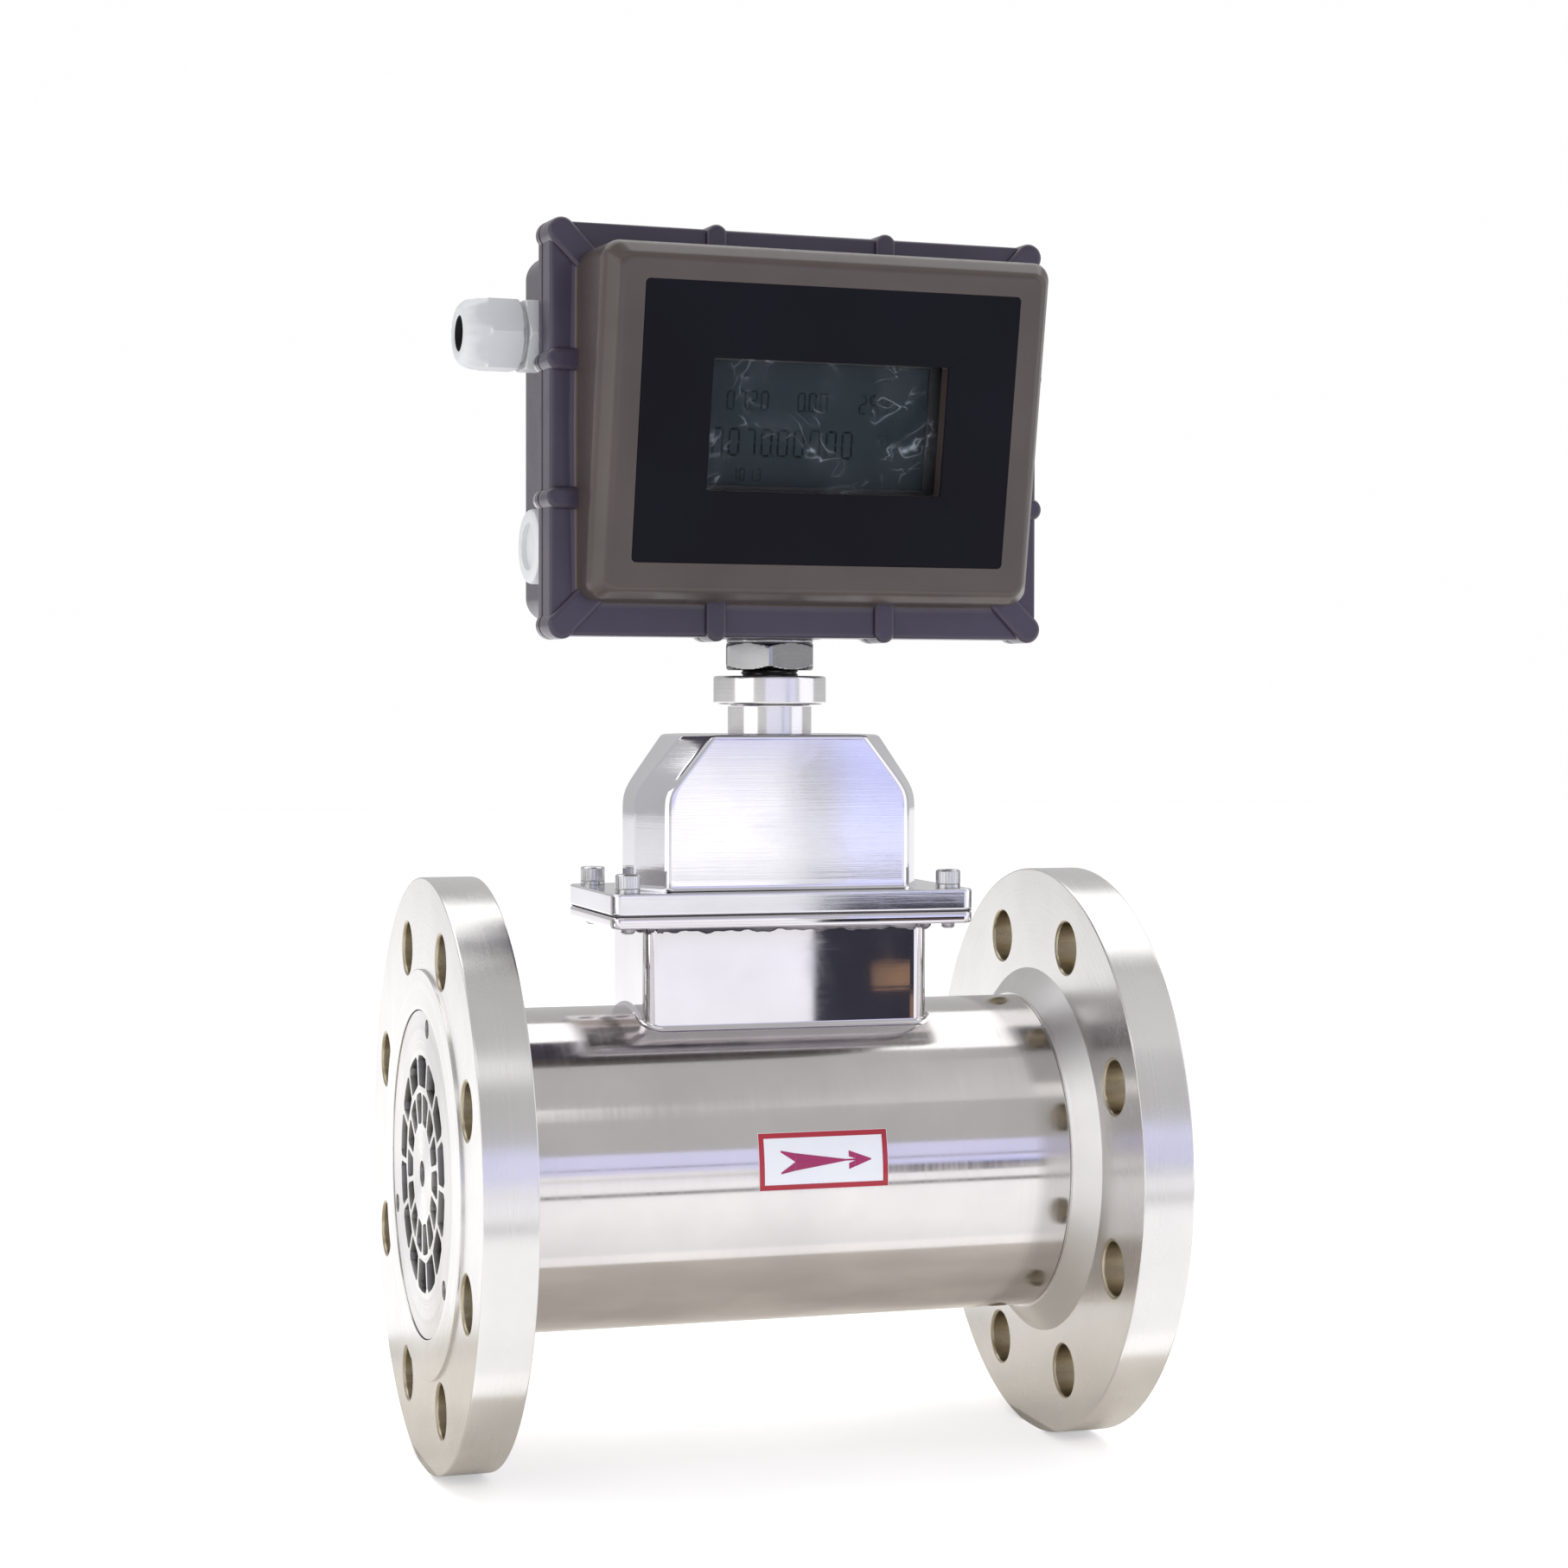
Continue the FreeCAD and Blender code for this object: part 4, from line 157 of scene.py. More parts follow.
def corner_ring(corners, radius, arc=6, side=1):
    """A convex polygon with its corners rounded. At a corner P between unit arms u and v the arc's
    middle is P + (u+v)/|u+v| * r/sin(h), with h half the corner's angle; sides get side steps."""
    p = np.asarray(corners, float)
    u, v = np.roll(p, 1, 0) - p, np.roll(p, -1, 0) - p
    long_u, long_v = (np.linalg.norm(w, axis=1, keepdims=True) for w in (u, v))
    u, v = u / long_u, v / long_v
    half = np.arccos(np.clip((u * v).sum(1, keepdims=True), -1, 1)) / 2
    reach = np.minimum(radius / np.tan(half), NEAR_HALF * np.minimum(long_u, long_v))
    middle = p + (u + v) / np.linalg.norm(u + v, axis=1, keepdims=True) * reach / np.cos(half)
    start, stop = p + u * reach - middle, p + v * reach - middle
    swing = np.pi - 2 * half
    t = np.linspace(0, 1, arc + 1)
    first, last = (np.sin(share * swing)[..., None] for share in (1 - t, t))
    turn = first * start[:, None] + last * stop[:, None]
    arcs = turn / np.sin(swing)[..., None] + middle[:, None]
    share = (np.arange(1, side) / side)[None, :, None]
    sides = arcs[:, -1:] * (1 - share) + np.roll(arcs[:, :1], -1, 0) * share
    return np.concatenate([arcs, sides], 1).reshape(-1, 2)


def eight(half_x, half_y, cut_x, cut_y):
    """The corners of a rectangle whose own corners are cut off, anticlockwise from the right."""
    quarter = np.array([(half_x, half_y - cut_y), (half_x - cut_x, half_y)])
    mirror = quarter[::-1] * (-1, 1)
    return np.concatenate([quarter, mirror, -quarter, -mirror])


def round_ring(half_x, half_y, radius, arc=6, side=1):
    """A rounded rectangle as an eight-cornered ring, so that it joins rings with cut corners."""
    cut = radius * (1 - math.tan(math.pi / 8))
    return corner_ring(eight(half_x, half_y, cut, cut), radius, arc, side)


def level(ring, height, middle=(0, 0)):
    """A flat ring laid at one height."""
    return np.column_stack([ring + middle, np.full(len(ring), float(height))])


def split(part, chosen, one, other):
    """A skin as two parts with their own material numbers: the chosen faces get the first."""
    points, faces = part[:2]
    halves = ([face for face, c in zip(faces, chosen) if c == wanted] for wanted in (True, False))
    return [(points, half, number) for half, number in zip(halves, (one, other))]


def piece(node, parts, materials=None, sharp=34, slot=None):
    """Joins skins into the piece that stands for a solid, on its body. Slot and look are the
    record's if none are given. A part is (points, faces) or (points, faces, material number)."""
    slot = slot or slot_of[node]
    points, faces, numbers, first = [], [], [], 0
    for part in parts:
        points.append(np.asarray(part[0], float))
        faces += [[first + corner for corner in face] for face in part[1]]
        numbers += [part[2] if len(part) > 2 else 0] * len(part[1])
        first += len(points[-1])
    name = node + "_skin"
    mesh = bpy.data.meshes.new(name)
    mesh.from_pydata((np.concatenate(points) * MM + np.array(SEAL)).tolist(), [], faces)
    mesh.polygons.foreach_set("material_index", numbers)
    work = bmesh.new()
    work.from_mesh(mesh)
    bmesh.ops.remove_doubles(work, verts=work.verts, dist=MERGE)
    bmesh.ops.dissolve_degenerate(work, dist=COLLAPSE, edges=work.edges)
    bmesh.ops.recalc_face_normals(work, faces=work.faces)
    if work.calc_volume(signed=True) < 0:
        bmesh.ops.reverse_faces(work, faces=work.faces)
    open_edges = sum(not edge.is_manifold for edge in work.edges)
    work.to_mesh(mesh)
    work.free()
    mesh.shade_smooth()
    mesh.set_sharp_from_angle(angle=math.radians(sharp))
    made = bpy.data.objects.new(name, mesh)
    scene.collection.objects.link(made)
    even = made.modifiers.new("flat_faces_stay_flat", "WEIGHTED_NORMAL")
    even.keep_sharp, even.weight = True, EVEN_WEIGHT
    for material in materials or [look_of[slot]]:
        mesh.materials.append(material)
    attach(made, body_of[node])
    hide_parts(node)
    print(f"{name}: {len(mesh.polygons)} faces, {open_edges} open edges")


slot_of = {part["node"]: part["material_slot"] for part in frame["record"]["subparts"]}
bodies = frame["record"]["behaviour"]["bodies"]
body_of = {node: body for body, nodes in bodies.items() for node in nodes}
print("the sealing face lies at", tuple(round(c, 4) for c in SEAL))

# %% [markdown]
# ## Surface effects that several materials share
#
# A turned ring, a brushed casting and a moulded nut differ in how their fine marks run. Each
# effect is a small node group that gives a value between 0 and 1 and never a shader, so that
# every material decides for itself what the value does. Positions reach the groups in metres.

# %% Effect groups
VECTOR, FLOAT = "NodeSocketVector", "NodeSocketFloat"


def effect(name, outputs, *inputs):
    """A node group that takes a position and more, and gives values: its tree and its sockets."""
    tree = bpy.data.node_groups.new(name, "ShaderNodeTree")
    for label, kind, value in (("Position", VECTOR, None), *inputs):
        socket = tree.interface.new_socket(name=label, in_out="INPUT", socket_type=kind)
        if value is not None:
            socket.default_value = value
    for label in outputs:
        tree.interface.new_socket(name=label, in_out="OUTPUT", socket_type=FLOAT)
    ins, outs = tree.nodes.new("NodeGroupInput"), tree.nodes.new("NodeGroupOutput")
    return tree, ins.outputs, outs.inputs


def wire(tree, kind, inputs, **settings):
    """The outputs of a node whose sockets take either a value or another node's output."""
    node = tree.nodes.new("ShaderNode" + kind)
    for key, value in settings.items():
        setattr(node, key, value)
    for key, value in inputs.items():
        if isinstance(value, bpy.types.NodeSocket):
            tree.links.new(value, node.inputs[key])
        else:
            node.inputs[key].default_value = value
    return node.outputs


def maths(tree, operation, *values):
    """One sum of two or three values."""
    return wire(tree, "Math", dict(enumerate(values)), operation=operation)[0]


def stretched(tree, place, by):
    """A position multiplied axis by axis, so that marks come out long or short."""
    return wire(tree, "VectorMath", {0: place, 1: by}, operation="MULTIPLY")[0]


def noise(tree, place, scale=1.0, detail=2.0, **more):
    """A cloudy value about 0.5."""
    return wire(tree, "TexNoise", {"Vector": place, "Scale": scale, "Detail": detail, **more})["Fac"]


def spread(tree, value, low, high, to_low=0.0, to_high=1.0):
    """Stretches a value from one range to another and holds it there."""
    inputs = {"Value": value, "From Min": low, "From Max": high, "To Min": to_low, "To Max": to_high}
    return wire(tree, "MapRange", inputs)["Result"]


marks, ins, outs = effect("turned_marks", ["Lines", "Bands"], ("Spacing", FLOAT, 900.0))
apart = wire(marks, "SeparateXYZ", {"Vector": ins["Position"]})
across = wire(marks, "CombineXYZ", {"X": apart["Y"], "Y": apart["Z"]})[0]
radius = wire(marks, "VectorMath", {0: across}, operation="LENGTH")["Value"]
flat = wire(marks, "CombineXYZ", {"X": apart["X"], "Y": radius})[0]
marks.links.new(spread(marks, noise(marks, flat, ins["Spacing"], 4.0), 0.3, 0.7), outs["Lines"])
marks.links.new(spread(marks, noise(marks, flat, 70.0), 0.35, 0.65), outs["Bands"])

brush, ins, outs = effect("brush_marks", ["Lines"], ("Stretch", VECTOR, (30, 300, 900)))
hairs = noise(brush, stretched(brush, ins["Position"], ins["Stretch"]), 1.0, 5.0, Roughness=0.6)
brush.links.new(spread(brush, hairs, 0.3, 0.7), outs["Lines"])

grain, ins, outs = effect("fine_grain", ["Grain", "Mottle"], ("Scale", FLOAT, 1500.0))
grain.links.new(noise(grain, ins["Position"], ins["Scale"], 3.0), outs["Grain"])
mottle = spread(grain, noise(grain, ins["Position"], 28.0, 4.0), 0.35, 0.65)
grain.links.new(mottle, outs["Mottle"])

dust, ins, outs = effect("settled_dust", ["Mask"])
normal = wire(dust, "NewGeometry", {})["Normal"]
above = spread(dust, wire(dust, "SeparateXYZ", {"Vector": normal})["Z"], 0.5, 1.0)
patchy = spread(dust, noise(dust, ins["Position"], 160.0, 6.0), 0.45, 0.75)
dust.links.new(maths(dust, "MULTIPLY", above, patchy), outs["Mask"])

wear, ins, outs = effect("hand_wear", ["Smudges", "Scratches"])
touch = noise(wear, ins["Position"], 45.0, 5.0, Distortion=0.8)
skew = {"Vector": ins["Position"], "Angle": 0.7}
skewed = wire(wear, "VectorRotate", skew, rotation_type="X_AXIS")[0]
scratch = noise(wear, stretched(wear, skewed, (25, 25, 1100)))
wear.links.new(spread(wear, touch, 0.5, 0.72), outs["Smudges"])
wear.links.new(spread(wear, scratch, 0.68, 0.74), outs["Scratches"])
print("effect groups:", sorted(tree.name for tree in bpy.data.node_groups))

# %% [markdown]
# ## Materials
#
# The meter is mostly stainless steel in four states: turned flanges, a finely polished tube, a
# brushed casting and a mirror-polished welded box. They share one recipe and differ in colour,
# roughness and in the direction of their marks. The display head is dark enamel over aluminium.

# %% Material recipes
COLOUR, FINISH = "Base Color", "Roughness"
NECK_X = float(np.mean([corner[0] for corner in mm_box("neck_sleeve")]))


def principled(material):
    """The sockets of a material's shader."""
    return material.node_tree.nodes["Principled BSDF"].inputs


def new_material(name, colour, metallic, roughness, **sockets):
    """A Principled material with plain values; sockets are written with underscores for spaces."""
    material = bpy.data.materials.new(name)
    material.use_nodes = True
    values = {COLOUR: (*colour, 1), "Metallic": metallic, FINISH: roughness, **sockets}
    for label, value in values.items():
        principled(material)[label.replace("_", " ")].default_value = value
    return material


def here_in(tree):
    """Object coordinates."""
    return wire(tree, "TexCoord", {})["Object"]


def from_neck(tree):
    """Object coordinates taken apart, as (x from the neck's axis, y, z)."""
    apart = wire(tree, "SeparateXYZ", {"Vector": here_in(tree)})
    return maths(tree, "SUBTRACT", apart["X"], NECK_X * MM + SEAL.x), apart["Y"], apart["Z"]


def place_in(tree, axis):
    """Object coordinates, turned so that a piece's own axis runs along X."""
    if axis != "z":
        return here_in(tree)
    x, y, z = from_neck(tree)
    return wire(tree, "CombineXYZ", {"X": z, "Y": x, "Z": y})[0]


def along_marks(tree, axis):
    """The way marks run: (0, -z, y) round the pipe, (-y, x, 0) round the neck, or along X."""
    if axis == "flat":
        return wire(tree, "CombineXYZ", {"X": 1.0})[0]
    if axis == "z":
        x, y, _ = from_neck(tree)
        return wire(tree, "CombineXYZ", {"X": maths(tree, "MULTIPLY", y, -1.0), "Y": x})[0]
    apart = wire(tree, "SeparateXYZ", {"Vector": here_in(tree)})
    back = maths(tree, "MULTIPLY", apart["Z"], -1.0)
    return wire(tree, "CombineXYZ", {"Y": back, "Z": apart["Y"]})[0]


def use(tree, group, **inputs):
    """One of the shared effects."""
    return wire(tree, "Group", inputs, node_tree=group)


def mixed(tree, share, first, second):
    """The colour between two, each a plain colour or another node's output."""
    node = tree.nodes.new("ShaderNodeMix")
    node.data_type = "RGBA"
    tree.links.new(share, node.inputs["Factor"])
    for socket, colour in zip([s for s in node.inputs if s.type == "RGBA"], (first, second)):
        if isinstance(colour, bpy.types.NodeSocket):
            tree.links.new(colour, socket)
        else:
            socket.default_value = (*colour, 1)
    return next(s for s in node.outputs if s.type == "RGBA")


def sum_of(tree, first, weight, second, weight_two, base):
    """base + first * weight + second * weight_two."""
    one = maths(tree, "MULTIPLY_ADD", first, weight, base)
    return maths(tree, "MULTIPLY_ADD", second, weight_two, one)


def finished(material, colour_share, light, dark, rough, height, strength, distance):
    """The last steps of a recipe: its colour, its roughness and its fine relief."""
    tree, sockets = material.node_tree, principled(material)
    tree.links.new(mixed(tree, colour_share, dark, light), sockets[COLOUR])
    tree.links.new(rough, sockets[FINISH])
    bump = {"Height": height, "Strength": strength, "Distance": distance}
    tree.links.new(wire(tree, "Bump", bump)["Normal"], sockets["Normal"])
    return material


def steel(name, light, dark, roughness, axis="x", stretch=None, spacing=900.0, depth=0.12, streak=0.75):
    """Metal whose marks run round an axis, or along a line if stretch is given. Light spreads
    across the marks and stays sharp along them, which draws a reflection out into streaks."""
    material = new_material(name, light, 1.0, roughness, Anisotropic=streak, Anisotropic_Rotation=0.25)
    tree = material.node_tree
    here = place_in(tree, axis)
    if stretch:
        lines = use(tree, brush, Position=here, Stretch=stretch)["Lines"]
    else:
        lines = use(tree, marks, Position=here, Spacing=spacing)["Lines"]
    mottle = use(tree, grain, Position=here)["Mottle"]
    worn = use(tree, wear, Position=here)
    settled = use(tree, dust, Position=here)["Mask"]
    rough = sum_of(tree, lines, roughness * 0.35, worn["Smudges"], 0.03, roughness * 0.8)
    rough = sum_of(tree, worn["Scratches"], 0.02, settled, 0.05, rough)
    tangent = along_marks(tree, "flat" if stretch else axis)
    tree.links.new(tangent, principled(material)["Tangent"])
    return finished(material, mottle, light, dark, rough, lines, depth, 0.00002)


def coated(name, light, dark, roughness, coat=0.0, scale=1500.0, depth=0.15, **sockets):
    """Paint, plastic or rubber: a mottled colour, a fine skin, hand marks and a little dust."""
    material = new_material(name, light, 0.0, roughness, Coat_Weight=coat, **sockets)
    tree = material.node_tree
    here = here_in(tree)
    surface = use(tree, grain, Position=here, Scale=scale)
    worn = use(tree, wear, Position=here)
    settled = use(tree, dust, Position=here)["Mask"]
    rough = sum_of(tree, surface["Grain"], 0.12, worn["Smudges"], 0.1, roughness - 0.06)
    rough = sum_of(tree, settled, 0.15, worn["Scratches"], 0.1, rough)
    return finished(material, surface["Mottle"], light, dark, rough, surface["Grain"], depth, 0.00004)


ENAMEL = {"Coat_Roughness": 0.16, "Specular_IOR_Level": 0.35}
DULL = {"Specular_IOR_Level": 0.1}
steels = {
    "stainless_tube": ((0.70, 0.675, 0.665), (0.64, 0.615, 0.61), 0.13, {"depth": 0.05}),
    "stainless_flange": ((0.74, 0.73, 0.715), (0.68, 0.67, 0.655), 0.25, {"spacing": 1400.0, "streak": 0.6}),
    "stainless_cast": (
        (0.76, 0.755, 0.79), (0.69, 0.685, 0.72), 0.065, {"stretch": (25, 40, 1500), "streak": 0.3}
    ),
    "stainless_fastener": ((0.68, 0.68, 0.69), (0.55, 0.55, 0.56), 0.24, {"stretch": (900, 900, 60)}),
    "nickel": ((0.34, 0.34, 0.345), (0.26, 0.26, 0.265), 0.14, {"axis": "z", "spacing": 1800.0}),
    "weld_bead": ((0.40, 0.38, 0.39), (0.07, 0.065, 0.08), 0.32, {"stretch": (900, 900, 900), "depth": 0.6}),
    "cartridge_alloy": ((0.74, 0.73, 0.72), (0.64, 0.63, 0.62), 0.34, {"spacing": 1100.0}),
    "bearing_steel": ((0.66, 0.66, 0.67), (0.55, 0.55, 0.56), 0.14, {"spacing": 2500.0}),
    "magnet_metal": ((0.46, 0.46, 0.48), (0.38, 0.38, 0.40), 0.22, {"stretch": (700, 700, 700)}),
    "spring_metal": ((0.62, 0.62, 0.62), (0.50, 0.50, 0.50), 0.25, {"stretch": (60, 900, 900)}),
    "mirror_box": (
        (0.74, 0.72, 0.74), (0.68, 0.66, 0.68), 0.03, {"stretch": (20, 60, 900), "depth": 0.03, "streak": 0.0}
    ),
    "drilled_hole": ((0.50, 0.44, 0.33), (0.40, 0.35, 0.25), 0.32, {"spacing": 2600.0}),
    "ground_hub": ((0.72, 0.71, 0.70), (0.64, 0.63, 0.62), 0.36, {"spacing": 1400.0, "streak": 0.4}),
    "dark_thread": ((0.16, 0.155, 0.15), (0.10, 0.097, 0.095), 0.34, {"axis": "z", "spacing": 1500.0}),
    "turned_collar": ((0.74, 0.73, 0.73), (0.66, 0.65, 0.65), 0.2, {"axis": "z", "spacing": 2400.0}),
}
coats = {
    "enclosure_grey": ((0.064, 0.048, 0.042), (0.049, 0.037, 0.033), 0.36, 0.4, 900.0, 0.14, ENAMEL),
    # The same dark enamel tinted lilac. The tint is a painted reflection of lilac light, used on the cover's rim
    # and ribs and on the rear housing.
    "rear_enamel": ((0.042, 0.032, 0.058), (0.032, 0.025, 0.045), 0.36, 0.4, 900.0, 0.14, ENAMEL),
    "panel_film": ((0.0042, 0.0040, 0.0085), (0.0028, 0.0027, 0.0060), 0.34, 0.0, 4000.0, 0.04, DULL),
    "screen": (
        (0.015, 0.024, 0.030), (0.011, 0.019, 0.024), 0.4, 0.0, 5000.0, 0.02, {"Specular_IOR_Level": 0.15}
    ),
    "digits": ((0.002, 0.004, 0.005), (0.001, 0.003, 0.004), 0.4, 0.0, 5000.0, 0.02, DULL),
    "board_green": ((0.012, 0.16, 0.05), (0.008, 0.11, 0.035), 0.38, 0.3, 2500.0, 0.1, {}),
    "grey_plastic": ((0.70, 0.71, 0.72), (0.62, 0.63, 0.65), 0.42, 0.0, 1300.0, 0.12, {}),
    "black_plastic": ((0.020, 0.020, 0.021), (0.013, 0.013, 0.014), 0.4, 0.0, 1600.0, 0.2, {}),
    "cell_wrap": ((0.05, 0.14, 0.32), (0.04, 0.10, 0.25), 0.3, 0.3, 1200.0, 0.06, {}),
    "seal_rubber": ((0.016, 0.016, 0.016), (0.010, 0.010, 0.010), 0.62, 0.0, 2200.0, 0.3, {}),
    "fibre_gasket": ((0.16, 0.15, 0.15), (0.10, 0.095, 0.095), 0.8, 0.0, 3000.0, 0.5, {}),
    "label_film": ((0.84, 0.86, 0.90), (0.78, 0.80, 0.86), 0.32, 0.3, 2500.0, 0.05, {}),
    "label_red": ((0.42, 0.012, 0.030), (0.34, 0.010, 0.030), 0.34, 0.3, 2500.0, 0.05, {}),
    "label_magenta": ((0.36, 0.010, 0.11), (0.29, 0.010, 0.09), 0.34, 0.3, 2500.0, 0.05, {}),
}
look_of = {name: steel(name + "_look", *row, **more) for name, (*row, more) in steels.items()}
look_of |= {name: coated(name + "_look", *row, **more) for name, (*row, more) in coats.items()}

# %% The window's film with painted glints, and painted shade deep in the grille
clear = new_material("window_clear_look", (0.45, 0.50, 0.56), 0.0, 0.12, Specular_IOR_Level=0.3)
tree = clear.node_tree
# The film's creases are real and also bump its surface. The pale opaque streaks along them are painted highlights,
# standing for light glinting off the wrinkles. The faint overall milkiness follows real smudges.
crease = noise(tree, stretched(tree, here_in(tree), (60, 60, 85)), 1.0, 1.5, Distortion=1.4)
off_line = maths(tree, "ABSOLUTE", maths(tree, "SUBTRACT", crease, 0.53))
line = maths(tree, "POWER", spread(tree, off_line, 0.0, 0.03, 1.0, 0.0), 3.0)
patch = use(tree, wear, Position=here_in(tree))["Smudges"]
smudges_and_painted_glints = sum_of(tree, maths(tree, "MULTIPLY", line, patch), 0.55, patch, 0.02, 0.004)
bump = wire(tree, "Bump", {"Height": crease, "Strength": 0.1, "Distance": 0.0003})["Normal"]
tree.links.new(smudges_and_painted_glints, principled(clear)["Alpha"])
tree.links.new(spread(tree, patch, 0.0, 1.0, 0.08, 0.2), principled(clear)[FINISH])
tree.links.new(bump, principled(clear)["Normal"])
look_of["window_clear"] = clear

# Inside the grille's channels, between its face and the rotor, the alloy's colour is mixed to near black: painted
# shade where the deep channels get little light.
GRILLE_PAINTED_SHADE = (0.0008, 0.0040, 0.100, 0.106)
tree, sockets = look_of["cartridge_alloy"].node_tree, principled(look_of["cartridge_alloy"])
inwards = wire(tree, "SeparateXYZ", {"Vector": here_in(tree)})["X"]
near_face, in_grille, before_rotor, at_rotor = (SEAL.x + depth for depth in GRILLE_PAINTED_SHADE)
entering = spread(tree, inwards, near_face, in_grille)
leaving = spread(tree, inwards, before_rotor, at_rotor, 1.0, 0.0)
unlit = maths(tree, "MULTIPLY", entering, leaving)
alloy = sockets[COLOUR].links[0].from_socket
tree.links.new(mixed(tree, unlit, alloy, (0.03, 0.03, 0.03)), sockets[COLOUR])
missing = sorted({m["slot"] for m in frame["record"]["materials"]} - set(look_of))
print("materials:", len(bpy.data.materials), "slots without a look:", missing)

# %% [markdown]
# ## Looks for the solids that stay as they are
#
# The cartridge, the rotor, the bearings and the boards sit inside, so their solids are fine
# enough. They arrive as separate triangles, which a weld joins. Each takes the look of the
# material slot that the record gives it.

# %% Solids with their looks
for name, solid in frame["nodes"].items():
    solid.data.materials.clear()
    solid.data.materials.append(look_of[slot_of[name]])
    solid.modifiers.new("weld", "WELD").merge_threshold = MERGE
print("solids dressed:", len(slot_of))

# %% [markdown]
# ## The flanges
#
# A flange is turned from a forged ring: a rim with eight drilled bolt holes, a raised sealing
# face and a bevelled hub that is welded to the tube. Each face is eight equal sectors, and each
# sector is a set of rings between its hole and its own border. That way the holes are real, with
# broken edges, and everything else is one turned profile that meets the sectors point by point.

# %% Flanges
STEPS, HOLE_EDGE = 128, 0.6
FACE_RADIUS, HUB_WIDE, HUB_NARROW, HUB_LONG = 69.0, 64.5, 56.0, 7.5
RAISED, RIM_THICK, RIM_EDGE = 1.0, 18.0, 0.8
SPOKES, WALL_ROWS = 6, 7
inlet, outlet = mm_box("inlet_flange"), mm_box("outlet_flange")
rim_radius = inlet[1][2]
bolts = next(m["dims"] for m in frame["record"]["mounts"] if m["name"] == "inlet_bolts")
hole_circle, hole_radius, hole_count = bolts["pcd_mm"] / 2, bolts["hole_r_mm"], int(bolts["count"])
SECTOR = 2 * math.pi / hole_count


def sector_border(inner, outer, arc=STEPS // hole_count, side=10):
    """Round one sector: out along its far side and back, with (r sin a, r cos a) on both arcs."""
    a = SECTOR * np.arange(arc) / arc
    r = inner + (outer - inner) * np.arange(side) / side
    runs = [(np.full(arc, inner), a), (r, np.full(side, SECTOR))]
    runs += [(np.full(arc, outer), SECTOR - a), (inner + outer - r, np.zeros(side))]
    r, a = np.concatenate([np.column_stack(run) for run in runs]).T
    return np.column_stack([r * np.sin(a), r * np.cos(a)])


def drilled_sector(front, back, front_inner, back_inner, outer):
    """The rings of one sector from its front border through the hole to its back border."""
    middle = hole_circle * np.array([math.sin(SECTOR / 2), math.cos(SECTOR / 2)])
    near, far = sector_border(front_inner, outer), sector_border(back_inner, outer)
    ray = (near - middle) / np.linalg.norm(near - middle, axis=1, keepdims=True)
    wall, lip = middle + ray * hole_radius, middle + ray * (hole_radius + HOLE_EDGE)
    step = math.copysign(1, back - front)

    def at(ring, place):
        return np.column_stack([np.full(len(ring), float(place)), ring])

    share = np.linspace(1, 0, SPOKES)[:-1, None]
    rings = [at(lip + (near - lip) * s, front) for s in share]
    edges = [at(lip, front), at(wall, front + step * HOLE_EDGE)]
    edges += [at(wall, back - step * HOLE_EDGE), at(lip, back)]
    through = [at(lip + (near - lip) * 0.05, front), *edges, at(lip + (far - lip) * 0.05, back)]
    rounded = soften(np.array(through), [0, 0.5, 0.5, 0.5, 0.5, 0], 3)
    return np.array(rings + list(rounded) + [at(lip + (far - lip) * s, back) for s in share[::-1]])


def about_x(points, angle):
    """Points turned about the pipe's axis."""
    c, s = math.cos(angle), math.sin(angle)
    return points @ np.array([[1, 0, 0], [0, c, -s], [0, s, c]])


def flange_skins(seal, inward, bore):
    """All the skins of a flange whose sealing face is at seal; inward is +1 or -1 along X."""

    def at(depth):
        return seal + inward * depth

    back, edge = RAISED + RIM_THICK, rim_radius - RIM_EDGE
    rings = drilled_sector(at(RAISED), at(back), FACE_RADIUS, HUB_WIDE, edge)
    skins = []
    for k in range(hole_count):
        sector = skin(about_x(rings, -SECTOR * k), "open")
        number = np.arange(len(sector[1])) // rings.shape[1]
        in_hole = (number >= SPOKES) & (number < len(rings) - WALL_ROWS)
        skins += split(sector, ~in_hole, 0, 1)
    rim = [(at(RAISED), edge), (at(RAISED), rim_radius), (at(back), rim_radius), (at(back), edge)]
    skins.append(lathe(soften(rim, [0, RIM_EDGE, RIM_EDGE, 0], 5), STEPS, ends="open"))
    hub = [(at(back), HUB_WIDE), (at(back), HUB_WIDE - 0.01), (at(hub_depth), HUB_NARROW)]
    face = [(at(0), FACE_RADIUS), (at(RAISED), FACE_RADIUS)]
    profile = hub + [(at(depth), radius) for depth, radius in bore] + face
    cuts = [0, 0, 0.5] + [0.25] * len(bore) + [0.3, 0]
    turned = lathe(soften(profile, cuts, 3), STEPS, ends="open")
    on_cone = np.arange(len(turned[1])) // STEPS < 3
    return skins + split(turned, on_cone, 2, 0)


socket = mm_box("cartridge_sleeve")[1][2] + 0.2
counterbore, seat = mm_box("flow_straightener")[1][2] + 0.35, 8.5
hub_depth = RAISED + RIM_THICK + HUB_LONG
inlet_bore = [(hub_depth, socket), (seat, socket), (seat, counterbore), (0, counterbore)]
outlet_bore = [(hub_depth, socket), (10, socket), (10, 40.0), (0, 40.0)]
looks = [look_of[name] for name in ("stainless_flange", "drilled_hole", "ground_hub")]
piece("inlet_flange", flange_skins(inlet[0][0], 1, inlet_bore), looks)
piece("outlet_flange", flange_skins(outlet[1][0], -1, outlet_bore), looks)

# %% [markdown]
# ## The tube
#
# The pipe between the hubs is a length of drawn stainless tube, ground and polished. It carries
# no detail but its finish, so a turned skin is enough, with many steps round it because its
# outline is mirrored as long straight bands.

